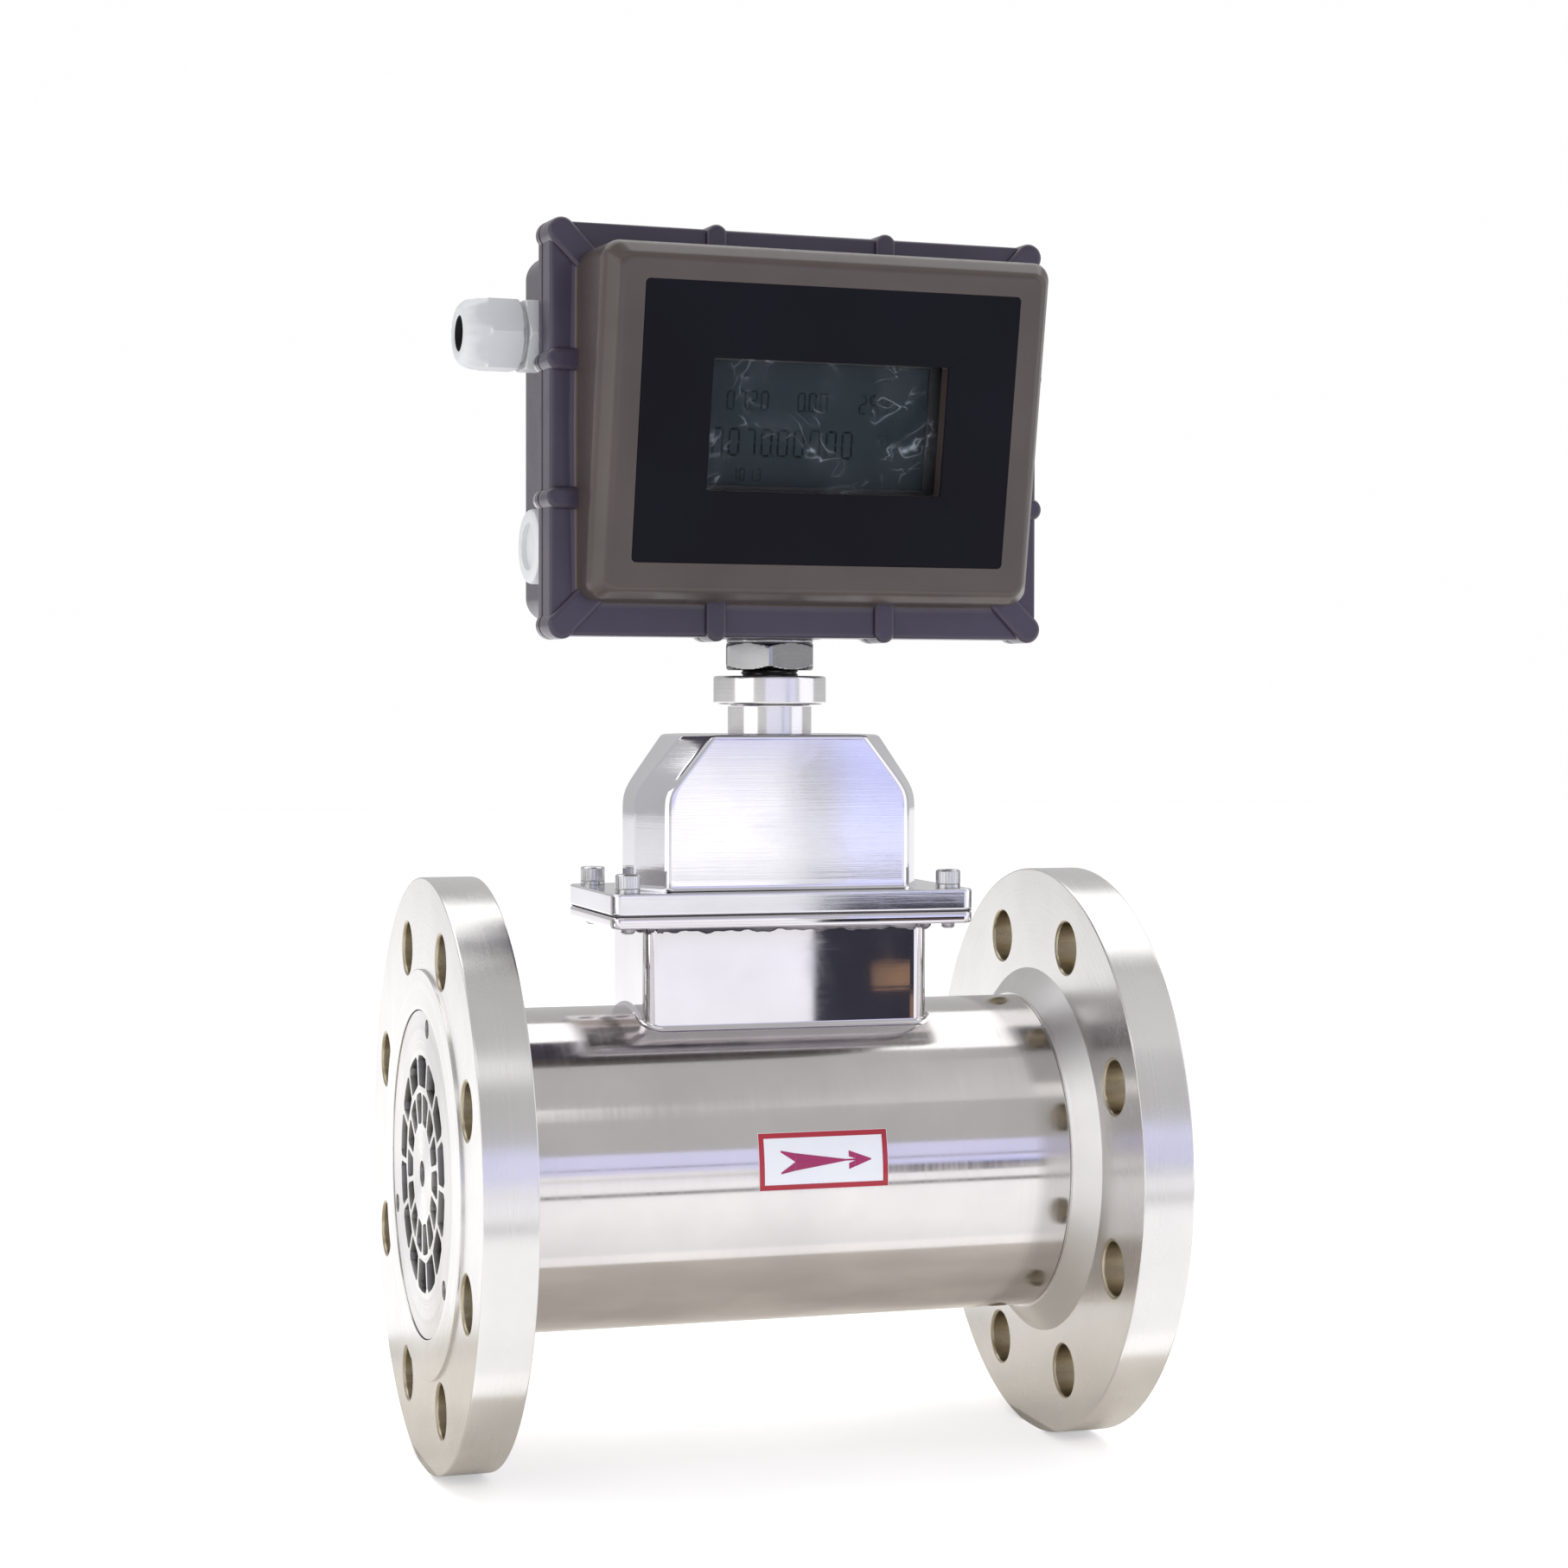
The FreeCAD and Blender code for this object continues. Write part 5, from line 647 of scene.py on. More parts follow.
# %% Tube
tube = mm_box("meter_tube")
tube_radius = tube[1][1]
TUBE_BORE = 49.0
start, stop = tube[0][0], tube[1][0]
closed = [(start, TUBE_BORE), (start, tube_radius), (stop, tube_radius), (stop, TUBE_BORE)]
outside = [(start, tube_radius - 2)] + closed[1:3] + [(stop, tube_radius - 2)]
profile = np.concatenate([soften(outside, [0, 0.35, 0.35, 0], 3), closed[3:], closed[:1]])
piece("meter_tube", [lathe(profile, 192, ends="loop")])

# %% [markdown]
# ## Pedestal, plates and the weld between them
#
# The box under the hood is four bent walls, polished like a mirror and seated on the tube with a
# smooth weld, so its foot follows the cylinder. A flat plate closes it at the top. The corner
# under the plate is welded by hand on every side, which leaves a slightly uneven silvery bead.

# %% Pedestal
NECK = (NECK_X, 0.0)
box_low, box_high = mm_box("sensor_pedestal")
BOX_ROUND, BOX_WALL, FOOT_WELD = 6.0, 4.0, 1.6
box_half = (box_high - box_low)[:2] / 2
inside = round_ring(*(box_half - BOX_WALL), 2.0, 5, 24)


def on_tube(ring, above=0.0):
    """A ring let down on the tube: z = sqrt(R^2 - y^2) + above."""
    height = np.sqrt(tube_radius**2 - ring[:, 1] ** 2) + above
    return np.column_stack([ring + NECK, height])


rings = [on_tube(inside, -2.0)]
rings.append(on_tube(round_ring(*(box_half + FOOT_WELD), BOX_ROUND + FOOT_WELD, 5, 24), -2.0))
for t in np.linspace(0, 1, 6):
    swell = FOOT_WELD * (1 - math.sin(t * math.pi / 2))
    foot = round_ring(*(box_half + swell), BOX_ROUND + swell, 5, 24)
    rings.append(on_tube(foot, FOOT_WELD * (1 - math.cos(t * math.pi / 2))))
top = box_high[2]
outer = round_ring(*box_half, BOX_ROUND, 5, 24)
rings += [level(outer, top, NECK), level(inside, top, NECK)]
piece("sensor_pedestal", [skin(rings, "loop")], [look_of["mirror_box"]], slot="stainless_cast")

# %% Plate and weld bead
plate_low, plate_high = mm_box("pedestal_plate")
plate_half = (plate_high - plate_low)[:2] / 2
PLATE_ROUND, PLATE_EDGE = 4.0, 1.3
inset = (plate_half - 3, PLATE_ROUND - 3)
levels = [(*inset, plate_low[2]), (plate_half, PLATE_ROUND, plate_low[2])]
levels += [(plate_half, PLATE_ROUND, plate_high[2]), (*inset, plate_high[2])]
stack = [level(round_ring(*half, radius), z, NECK) for half, radius, z in levels]
opening = round_ring(*(box_half - BOX_WALL), 1.0)
stack = list(soften(stack, [0, PLATE_EDGE, PLATE_EDGE, 0], 4))
stack += [level(opening, z, NECK) for z in (plate_high[2], plate_low[2])]
piece("pedestal_plate", [skin(stack, "loop")], [look_of["mirror_box"]], slot="stainless_cast")

bead_low, bead_high = mm_box("plate_weld")
BEAD = float(bead_high[2] - bead_low[2])
path = round_ring(*box_half, BOX_ROUND, 12, 60)
count = len(path)
s = 2 * np.pi * np.arange(count) / count
lumps = 0.13 * np.sin(47 * s) + 0.12 * np.sin(83 * s + 1.3) + 0.12 * np.sin(151 * s + 0.4) - 0.2
outward = path - np.roll(path, 1, 0) + (np.roll(path, -1, 0) - path)
outward = np.column_stack([outward[:, 1], -outward[:, 0]])
outward /= np.linalg.norm(outward, axis=1, keepdims=True)
section = []
for t in np.linspace(0, 1, 8):
    reach = BEAD * (1 + lumps) * math.cos(t * math.pi / 2) ** 0.8
    drop = BEAD * (1 + lumps) * math.sin(t * math.pi / 2) ** 0.8
    section.append(np.column_stack([path + NECK + outward * reach[:, None], bead_high[2] - drop]))
section.append(np.column_stack([path + NECK, np.full(count, bead_high[2])]))
piece("plate_weld", [skin(section, "loop")], sharp=60)

# %% [markdown]
# ## The hood
#
# The hood is one casting: a bolted foot as wide as the plate, upright walls with cut corners, a
# soft shoulder, and sides that lean in to a flat top round the neck. The lean grows gently below
# the shoulder and stays constant above it, so the half length at height z is
# A - k * log(1 + exp((z - z0) / w)) * w, a bend without a crease. The hollow inside is kept.

# %% Hood
hood_low, hood_high = mm_box("sensor_hood")
shell_bottom, shell_top = float(hood_low[2]), float(hood_high[2])
slab_top = shell_bottom + 7.1
HOOD_HALF = (50.5, 24.2)
SHOULDER, LEAN, SOFT_BEND, CAST_ROUND = 128.5, 0.7716, 1.6, 4.0
CUT_LOW, CUT_HIGH = np.array([7.7, 15.6]), np.array([8.5, 10.4])


def hood_ring(z, grow=0.0):
    """The hood's outline at one height, as eight corners that are rounded."""
    bend = SOFT_BEND * np.logaddexp(0, (z - SHOULDER) / SOFT_BEND)
    share = np.clip((z - SHOULDER) / (shell_top - SHOULDER), 0, 1)
    cut = CUT_LOW + (CUT_HIGH - CUT_LOW) * share
    half = (HOOD_HALF[0] - LEAN * bend + grow, HOOD_HALF[1] + grow)
    return level(corner_ring(eight(*half, *(cut + grow * 0.3)), CAST_ROUND), z, NECK)


FOOT_FILLET, TOP_ROUND, CAST_WALL = 2.4, 3.0, 3.0
inner_heights = (shell_top - 4.0, 138.0, SHOULDER + 1, SHOULDER - 4, shell_bottom + 0.01)
inner = [hood_ring(z, -CAST_WALL) for z in inner_heights]
inner[-1][:, 2] = shell_bottom
foot = [level(round_ring(*plate_half, PLATE_ROUND), z, NECK) for z in (shell_bottom, slab_top)]
walls = [inner[-1], *foot, hood_ring(slab_top)]
walls += [hood_ring(z) for z in np.linspace(slab_top + 4, shell_top, 24)]
walls.append(hood_ring(shell_top, -4.0))
cuts = [0, 0.7, 0.9, FOOT_FILLET] + [0] * 23 + [TOP_ROUND, 0]
outer = soften(walls, cuts, 5)
piece("sensor_hood", [skin([*inner[:-1], *outer], "caps")])
print("hood from", round(shell_bottom, 2), "to", round(shell_top, 2))

# %% [markdown]
# ## Socket screws and spring washers
#
# Four cap screws hold the hood. Their heads are knurled, with a chamfered rim and a hexagon
# socket, and each sits on a split spring washer. The thread shows for a few turns under the
# plate. One screw is modelled and repeated, as they are all the same.

# %% Screws and washers
screw_low, screw_high = mm_box("hood_screws")
HEAD_R, HEAD_H, SHANK_R, WASHER_H = 4.25, 5.0, 2.5, 1.3
screw_x = (screw_high - screw_low)[0] / 2 - HEAD_R
screw_y = (screw_high - screw_low)[1] / 2 - HEAD_R
head_foot, tail_end = float(screw_high[2]) - HEAD_H, float(screw_low[2])


def hexagon(u, across, turn=0.0):
    """Radius of a hexagon of that width across its flats, at every angle u."""
    return across / 2 / np.cos((u - turn + np.pi / 6) % (np.pi / 3) - np.pi / 6)


def upright(radii, heights, steps, centre):
    """Rings about Z whose radius is one number, or one number for every angle."""
    u = 2 * np.pi * np.arange(steps) / steps
    rings = (np.column_stack([r * np.cos(u), r * np.sin(u)]) for r in radii)
    return np.array([level(ring, z, centre) for ring, z in zip(rings, heights)])


def cap_screw_rings(centre, foot, head_r, head_h, shank_r, end, socket, steps=72):
    """Tail, thread crests, shank, knurled head and hexagon socket, as one stack of rings."""
    top = foot + head_h
    u = 2 * np.pi * np.arange(steps) / steps
    thread = np.arange(end + 0.6, foot - 6.0, 0.4)
    crest = [shank_r - 0.3 * (k % 2) for k in range(len(thread))]
    knurl = head_r * (1 - 0.018 * (0.5 + 0.5 * np.cos(36 * u)))
    hollow = hexagon(u, socket)
    radii = [0, shank_r - 0.7, *crest, shank_r, shank_r, head_r - 0.25, knurl, knurl, head_r - 0.25]
    heights = [end, end, *thread, foot - 5.6, foot, foot, foot + 0.3, top - 0.6, top - 0.25]
    radii += [head_r - 0.6, hollow + 0.15, hollow, hollow, 0]
    heights += [top, top, top - 0.15, top - 2.4, top - 2.9]
    return upright(radii, heights, steps, centre)


corners = [(NECK_X + screw_x * a, screw_y * b) for a in (-1, 1) for b in (-1, 1)]
cut = (head_foot, HEAD_R, HEAD_H, SHANK_R, tail_end, 4.0)
piece("hood_screws", [skin(cap_screw_rings(corner, *cut), "open") for corner in corners], sharp=28)


def split_washer(centre, low, high, outer, bore, gap, steps=48):
    """A ring of nearly a whole turn whose two ends stand a little apart in height."""
    u = np.linspace(gap / outer, 2 * np.pi - gap / outer, steps)
    lift = (u / (2 * np.pi) - 0.5) * 0.25
    rings = []
    for r, z in ((bore, low), (outer, low), (outer, high), (bore, high)):
        z = np.clip(z + lift, low, high)
        rings.append(np.column_stack([centre[0] + r * np.cos(u), centre[1] + r * np.sin(u), z]))
    return skin(np.array(rings).transpose(1, 0, 2), "caps")


washers = [split_washer(c, head_foot - WASHER_H, head_foot, HEAD_R, SHANK_R + 0.1, 0.4) for c in corners]
piece("hood_washers", washers, sharp=28, slot="spring_metal")

# %% [markdown]
# ## Neck, collar and lock nut
#
# The neck is turned: a plain barrel and a wide collar with broken edges. A threaded stem comes
# out of it and carries the head; a thin hexagon nut and a washer lock it from below. The nut's
# corners are turned off by a cone, so its radius is the smaller of the hexagon and the cone.

# %% Neck
neck_low, neck_high = mm_box("neck_sleeve")
NECK_R, COLLAR_R, COLLAR_H = 14.5, (neck_high - neck_low)[0] / 2, 9.9
collar_low, collar_high = float(neck_high[2]) - COLLAR_H, float(neck_high[2])
stem_low, stem_high = mm_box("swivel_stem")
STEM_R, STEM_BORE = (stem_high - stem_low)[0] / 2, 6.0
foot, tip, bore = neck_low[2], stem_low[2], STEM_R + 0.1
profile = [(foot, NECK_R - 3), (foot, NECK_R), (collar_low, NECK_R), (collar_low, COLLAR_R)]
profile += [(collar_high, COLLAR_R), (collar_high, bore), (tip, bore)]
profile += [(tip, STEM_BORE), (foot, STEM_BORE)]
turned = soften(profile, [0, 0.3, 0.8, 1.1, 1.1, 0.3, 0, 0, 0], 4)
barrel = lathe(turned, 96, "z", "loop", NECK)
piece("neck_sleeve", [barrel], [look_of["turned_collar"]], slot="stainless_tube")

PITCH, THREAD_DEEP = 1.5, 0.75
THREAD_BED, TURNS = STEM_R - 0.9, 96
u = 2 * np.pi * np.arange(TURNS) / TURNS
heights = np.arange(float(stem_low[2]) + 0.5, float(stem_high[2]) - 1.0, PITCH / 5)
wave = (heights[:, None] / PITCH - u / (2 * np.pi)) % 1
crests = STEM_R - THREAD_DEEP * np.abs(2 * wave - 1) ** 1.2
radii = [STEM_BORE, THREAD_BED, *crests, THREAD_BED, STEM_BORE]
levels = [stem_low[2], stem_low[2], *heights, stem_high[2], stem_high[2]]
piece("swivel_stem", [skin(upright(radii, levels, TURNS, NECK), "loop")], [look_of["dark_thread"]], 26)

NUT_ACROSS, NUT_TURN, NUT_BORE = 30.0, math.radians(-107), STEM_R + 0.08
WASHER_R, CLEARANCE = 15.0, 0.03
u = 2 * np.pi * np.arange(144) / 144
flats = hexagon(u, NUT_ACROSS, NUT_TURN + math.pi / 6)
heights = np.concatenate([np.linspace(0, 1.6, 7), np.linspace(2.2, 7.3, 4), np.linspace(7.9, 9.5, 7)])
radii = [np.minimum(flats, NUT_ACROSS / 2 - 0.3 + 1.75 * min(h, heights[-1] - h)) for h in heights]
radii = [NUT_BORE, *radii, NUT_BORE]
levels = float(mm_box("stem_lock_nut")[0][2]) + np.concatenate([heights[:1], heights, heights[-1:]])
piece("stem_lock_nut", [skin(upright(radii, levels, 144, NECK), "loop")], sharp=24)
low, top = (corner[2] for corner in mm_box("stem_washer"))
top -= CLEARANCE
ring = soften([(low, NUT_BORE), (low, WASHER_R), (top, WASHER_R), (top, NUT_BORE)], [0, 0.3, 0.3, 0], 3)
piece("stem_washer", [lathe(ring, 96, "z", "loop", NECK)])

# %% [markdown]
# ## The display head: front cover
#
# The cover is a die casting. A flat rim carries twelve round-ended ribs, one over each screw, and
# from it a box with upright sides rises to a slanted front, where a bevelled band frames the
# panel. All its edges are soft, as castings and their enamel are. The head stands four degrees
# off square and its front leans upwards; both turns are applied to skins drawn straight.

# %% Placing the head
head_joint = next(j for j in frame["joints"] if j["name"] == "head_swivel")
HEAD_YAW, FACE_TILT, FACE_REACH = math.radians(4.0), math.radians(9.54), 55.0
HEAD_LONG, HEAD_TALL, HEAD_ROUND = 176.0, 136.0, 5.0
HEAD_Z = float(sum(corner[2] for corner in mm_box("front_cover"))) / 2


def in_head(points):
    """Turns points about Z by the head's yaw and carries them to the head's centre."""
    c, s = math.cos(HEAD_YAW), math.sin(HEAD_YAW)
    p = np.asarray(points, float)
    turned = [c * p[..., 0] - s * p[..., 1] + NECK_X, s * p[..., 0] + c * p[..., 1], p[..., 2] + HEAD_Z]
    return np.stack(turned, -1)


def on_face(points):
    """From the slanted face's own axes (right, behind it, up) to the head's axes."""
    c, s = math.cos(FACE_TILT), math.sin(FACE_TILT)
    p = np.asarray(points, float)
    turned = [p[..., 0], c * p[..., 1] - s * p[..., 2] - FACE_REACH, s * p[..., 1] + c * p[..., 2]]
    return np.stack(turned, -1)


def facing(ring, depth, middle=(0, 0)):
    """A ring drawn as (right, up), laid at a depth in front of or behind the reader."""
    across, up = (ring + middle).T
    return np.column_stack([across, np.full(len(ring), float(depth)), up])


def headed(part):
    """A part drawn in the head's axes, placed on the head."""
    return (in_head(part[0]), *part[1:])


print("head centre at height", round(HEAD_Z, 2), "joint at", head_joint["pos_m"])

# %% Front cover
RIM_FRONT, RIM_BACK = -29.1, -20.1
RIB_RISE, RIB_REACH, LUG_REACH, RIB_HALF, CORNER_RIB_HALF = 2.0, 15.0, 7.4, 3.7, 4.7
RIB_STEPS = ((0, 1.3), (-0.35, 0.55), (-0.9, 0.15), (-1.7, 0))
BEZEL_LONG, BEZEL_LOW, BEZEL_HIGH, BEZEL_ROUND = 158.0, -56.5, 58.6, 6.0
BAND_DEEP, BAND_WIDE, CAVITY_WALL = 6.4, 4.3, 4
RECESS_DEEP, FACE_THICK = 1.0, 6.0
PANEL_HALF, PANEL_UP = (66.15, 45.75), 0.9
WINDOW_HALF, WINDOW_UP = (41.7, 21.65), 0.5


def centred(half_x, half_y, radius):
    """A rectangle with round corners, about the middle."""
    return round_ring(half_x, half_y, radius, 6, 2)


def rib(x, z, out_x, out_z, half, low, high, reach):
    """A rib between two depths: half circles (r cos a, r sin a) at both ends, and a soft crest."""
    way = -np.array([out_x, out_z], float)
    way /= np.linalg.norm(way)
    side = np.array([-way[1], way[0]])
    a = np.linspace(-np.pi / 2, np.pi / 2, 13)[:, None]
    back = math.copysign(1, low - high)
    rings = []
    for grow, y in ((0, low), *((grow, high + back * under) for grow, under in RIB_STEPS)):
        r = half + grow
        start = np.array([x, z]) - way * r * np.cos(a) + side * r * np.sin(a)
        end = np.array([x, z]) + way * reach + way * r * np.cos(a) - side * r * np.sin(a)
        rings.append(facing(np.concatenate([start, end]), y))
    return headed(skin(rings, "caps"))


def rib_places():
    """The twelve screws: two on each of the four sides, and one at each corner."""
    edge_x, edge_z = HEAD_LONG / 2 - 2.2, HEAD_TALL / 2 - 2.2
    for side in (-1, 1):
        for end in (-1, 1):
            yield 30.5 * side, edge_z * end, 0, end
            yield edge_x * side, 22.7 * end, side, 0
            yield (HEAD_LONG / 2 - 3.6) * side, (HEAD_TALL / 2 - 3.6) * end, side, end


def ribs(low, high, reach):
    """A rib at every screw."""
    halves = [CORNER_RIB_HALF if place[2] and place[3] else RIB_HALF for place in rib_places()]
    return [rib(*place, half, low, high, reach) for place, half in zip(rib_places(), halves)]


bezel_half, bezel_up = (BEZEL_HIGH - BEZEL_LOW) / 2, (BEZEL_HIGH + BEZEL_LOW) / 2
slanted_half = bezel_half / math.cos(FACE_TILT)
head_ring = centred(HEAD_LONG / 2, HEAD_TALL / 2, HEAD_ROUND)
rim = [facing(head_ring, y) for y in (RIM_BACK, RIM_FRONT)]
foot = facing(centred(BEZEL_LONG / 2, bezel_half, BEZEL_ROUND), RIM_FRONT, (0, bezel_up))
slanted = on_face(facing(centred(BEZEL_LONG / 2, slanted_half, BEZEL_ROUND), BAND_DEEP))
band = centred(BEZEL_LONG / 2 - BAND_WIDE, slanted_half - BAND_WIDE, BEZEL_ROUND - 1.5)
recess, hole = centred(*PANEL_HALF, 1.6), centred(*WINDOW_HALF, 1.2)
lip = [on_face(facing(recess, y, (0, PANEL_UP))) for y in (0, RECESS_DEEP)]
window = [on_face(facing(hole, y, (0, WINDOW_UP))) for y in (RECESS_DEEP, FACE_THICK)]
inner_x, inner_z = BEZEL_LONG / 2 - CAVITY_WALL, bezel_half - CAVITY_WALL
behind = on_face(facing(centred(inner_x, inner_z / math.cos(FACE_TILT), 1.0), FACE_THICK))
cavity = facing(centred(inner_x, inner_z, 1.0), RIM_BACK, (0, bezel_up))
stack = [cavity, *rim, foot, slanted, on_face(facing(band, 0)), *lip, *window, behind, cavity]
cuts = [0, 0.5, 1.8, 3.0, 2.4, 2.0, 0.25, 0.1, 0.3, 0.2, 0, 0]
shell = skin(soften(np.array(stack), cuts, 5)[:-1], "loop")
# The rim's faces and the ribs take the lilac-tinted enamel, a painted lilac reflection. The bezel and the box keep
# the plain enamel.
on_rim = shell[0][np.asarray(shell[1])][:, :, 1].mean(axis=1) > RIM_FRONT - 0.3
parts = split(headed(shell), ~on_rim, 0, 1)
parts += [(*made[:2], 1) for made in ribs(RIM_BACK, RIM_FRONT - RIB_RISE, RIB_REACH)]
piece("front_cover", parts, [look_of["enclosure_grey"], look_of["rear_enamel"]])

# %% [markdown]
# ## The display head: rear housing
#
# The back shell is a plain box with rounded corners, closed by the cover through a thin gasket.
# Short lugs stand behind the cover's ribs and take the screws. A round boss below screws on the
# stem, and the left wall has two threaded entries, for the cable gland and for the plug.

# %% Rear housing
SHELL_FRONT, LUG_DEEP, SHELL_BACK, OVERHANG, WALL = -19.1, 4.6, 22.9, 5.7, 4.0
SHELL_ROUND, BACK_ROUND = 8.0, 5.0
BOSS_R, BOSS_TALL, BOSS_BORE = 18.0, 9.5, STEM_R + 0.1
shell_half = np.array([HEAD_LONG / 2 - OVERHANG, HEAD_TALL / 2 - OVERHANG])
lug_end = SHELL_FRONT + LUG_DEEP
flange = [facing(head_ring, y) for y in (SHELL_FRONT, lug_end)]
body = [facing(centred(*shell_half, SHELL_ROUND), y) for y in (lug_end, SHELL_BACK)]
back = facing(centred(*(shell_half - 9), 3.0), SHELL_BACK)
hollow = [facing(centred(*(shell_half - WALL), 1.0), y) for y in (SHELL_BACK - WALL, SHELL_FRONT)]
stack = np.array([*hollow, *flange, *body, back])
outer = soften(stack, [0, 0, 0.5, 1.4, 1.6, BACK_ROUND, 0], 5)
foot = float(mm_box("stem_washer")[1][2])
boss = [(foot, BOSS_BORE), (foot, BOSS_R), (foot + BOSS_TALL, BOSS_R), (foot + BOSS_TALL, BOSS_BORE)]
parts = [headed(skin(outer, "caps")), *ribs(SHELL_FRONT, lug_end, LUG_REACH)]
parts.append(lathe(soften(boss, [0, 0.9, 0, 0], 4), 96, "z", "loop", NECK))
piece("rear_housing", parts, [look_of["rear_enamel"]])

# %% [markdown]
# ## Cable gland and plug
#
# A pale nylon gland holds the cable: a hexagon against the wall, a threaded neck, and a cap nut
# whose hexagon runs into a ribbed dome with a round mouth. No cable is in it, so the seal shows
# as a dark ring inside. A plain round plug closes the lower entry.

# %% Gland and plug
GLAND_Z, PLUG_Z = 33.0, -37.5
WALL_X = -(HEAD_LONG / 2 - OVERHANG)
GLAND_ACROSS, ROUND = 23.0, 96
HEX_CHAMFER = (0.6, 1.4, 1.75, 1.75, 1.4, 0.6)


def sideways(radii, outs, height):
    """Rings about the line that runs out of the left wall; outs are distances from the wall."""
    x = [np.full(ROUND, WALL_X - out) for out in outs]
    rings = [[at, r * np.cos(u), height + r * np.sin(u)] for at, r in zip(x, radii)]
    return in_head(np.array(rings).transpose(0, 2, 1))


u = 2 * np.pi * np.arange(ROUND) / ROUND
flats = hexagon(u, GLAND_ACROSS, math.radians(30))
body_hex = [np.minimum(flats, GLAND_ACROSS / 2 + grow) for grow in HEX_CHAMFER]
thread_outs = np.arange(7.8, 13.2, 0.5)
thread = [9.0 - 0.35 * (k % 2) for k in range(len(thread_outs))]
radii = [6.0, 10.0, 10.0, *body_hex, 9.0, *thread, 9.0, 6.0]
outs = [-13, -13, 0, 0.0, 0.35, 0.9, 6.7, 7.25, 7.6, 7.6, *thread_outs, 13.6, 13.6]
piece("gland_body", [skin(sideways(radii, outs, GLAND_Z), "loop")], sharp=26)

NUT_FOOT, NUT_HEX_END, DOME_END, MOUTH_END = 9.5, 22.6, 29.2, 28.6
SEAL_AT, SEAL_R, MOUTH_R, GRIPS = 24.6, 9.1, 6.0, 18
nut_hex = [np.minimum(flats, GLAND_ACROSS / 2 + grow) for grow in (0.7, 1.4, 1.75, 1.75)]
t = np.linspace(0, 1, 12)
grip = 0.5 + 0.5 * np.cos(GRIPS * u)
dome = []
for share in t:
    crown = 7.6 + (GLAND_ACROSS / 2 - 7.6) * math.cos(share * math.pi / 2) ** 0.75
    blended = np.minimum(flats, GLAND_ACROSS / 2 + 1.6 * (1 - share) ** 3)
    cut = 0.28 * grip * math.sin(math.pi * share) ** 0.6
    dome.append(np.minimum(blended, crown + 0.9 * (1 - share)) - cut)
dome_outs = NUT_HEX_END - 1.5 + (DOME_END - NUT_HEX_END + 1.5) * np.sin(t * np.pi / 2)
radii = [SEAL_R, *nut_hex, *dome, 6.6, MOUTH_R]
outs = [NUT_FOOT, NUT_FOOT, NUT_FOOT + 0.4, NUT_FOOT + 1.0, NUT_HEX_END - 2]
outs += [*dome_outs, DOME_END, MOUTH_END]
outside = skin(sideways(radii, outs, GLAND_Z), "open")
radii, outs = [MOUTH_R, MOUTH_R, SEAL_R, SEAL_R], [MOUTH_END, SEAL_AT, SEAL_AT, NUT_FOOT]
mouth = skin(sideways(radii, outs, GLAND_Z), "open")
looks = [look_of["grey_plastic"], look_of["seal_rubber"]]
piece("gland_nut", [outside, (*mouth[:2], 1)], looks, 26)

PLUG_R = 12.65
edge = [PLUG_R - cut for cut in (0.3, 0, 0, 0.35, 1.1, 2.4)]
radii = [0, 8, 10, 10, *edge, 8.5, 8.1, 8.0, 0]
outs = [-11, -13, -13, 0, 0, 0.3, 3.4, 4.3, 4.8, 5.0, 5.0, 4.8, 3.2, 3.0]
piece("blanking_plug", [skin(sideways(radii, outs, PLUG_Z), "open")])

# %% [markdown]
# ## The screen and its digits
#
# Behind the window lies a liquid-crystal screen. It is unlit, so its digits are only a shade
# darker than the ground: a total in large digits, and a rate in small ones above it. Every digit
# is built of the seven bars of a real screen. The numbers mean nothing.

# %% Screen
SCREEN_HALF, SCREEN_DEPTH = (39.0, 20.5), 10.4
BARS = {"a": (0, 1, 0), "d": (0, -1, 0), "g": (0, 0, 0)}
BARS |= {"b": (0.5, 0.5, 1), "c": (0.5, -0.5, 1), "e": (-0.5, -0.5, 1), "f": (-0.5, 0.5, 1)}
LIT = {"0": "abcdef", "1": "bc", "2": "abged", "3": "abgcd", "4": "fgbc"}
LIT |= {"5": "afgcd", "6": "afgedc", "7": "abc"}
ROWS = (
    ("0070.00000", -37.5, -5.6, 4.6, 8.6),
    ("45", 21.5, -3.4, 2.3, 4.2),
    ("07.20", -33.0, 8.2, 3.2, 6.0),
    ("0.00", -8.0, 8.2, 3.2, 6.0),
    ("25.4", 14.0, 8.2, 3.2, 6.0),
    ("101.3", -30.0, -16.2, 2.3, 3.8),
)


def bar(across, up, half_long, half_wide, upright_bar, front):
    """One bar of a digit: a thin hexagonal plate with pointed ends."""
    tip = half_long - half_wide
    ring = [(half_long, 0), (tip, half_wide), (-tip, half_wide)]
    ring = np.array(ring + [(-x, -y) for x, y in ring], float)
    if upright_bar:
        ring = ring[:, ::-1]
    plates = [on_face(facing(ring, front + back, (across, up))) for back in (0.05, 0)]
    return (*headed(skin(plates, "caps")), 1)


def digits(text, x, z, width, height, front):
    """A row of digits of that width and height, from the left."""
    made = []
    for letter in text:
        if letter == ".":
            place, half = (x - width * 0.18, z - height / 2), (width * 0.12, width * 0.1)
            made.append(bar(*place, *half, False, front))
            continue
        for name in LIT[letter]:
            along, up, upright_bar = BARS[name]
            half = (height / 4 if upright_bar else width * 0.33) * 0.9
            place = (x + width / 2 + along * width * 0.72, z + up * height / 2)
            made.append(bar(*place, half, width * 0.085, upright_bar, front))
        x += width * 1.25
    return made


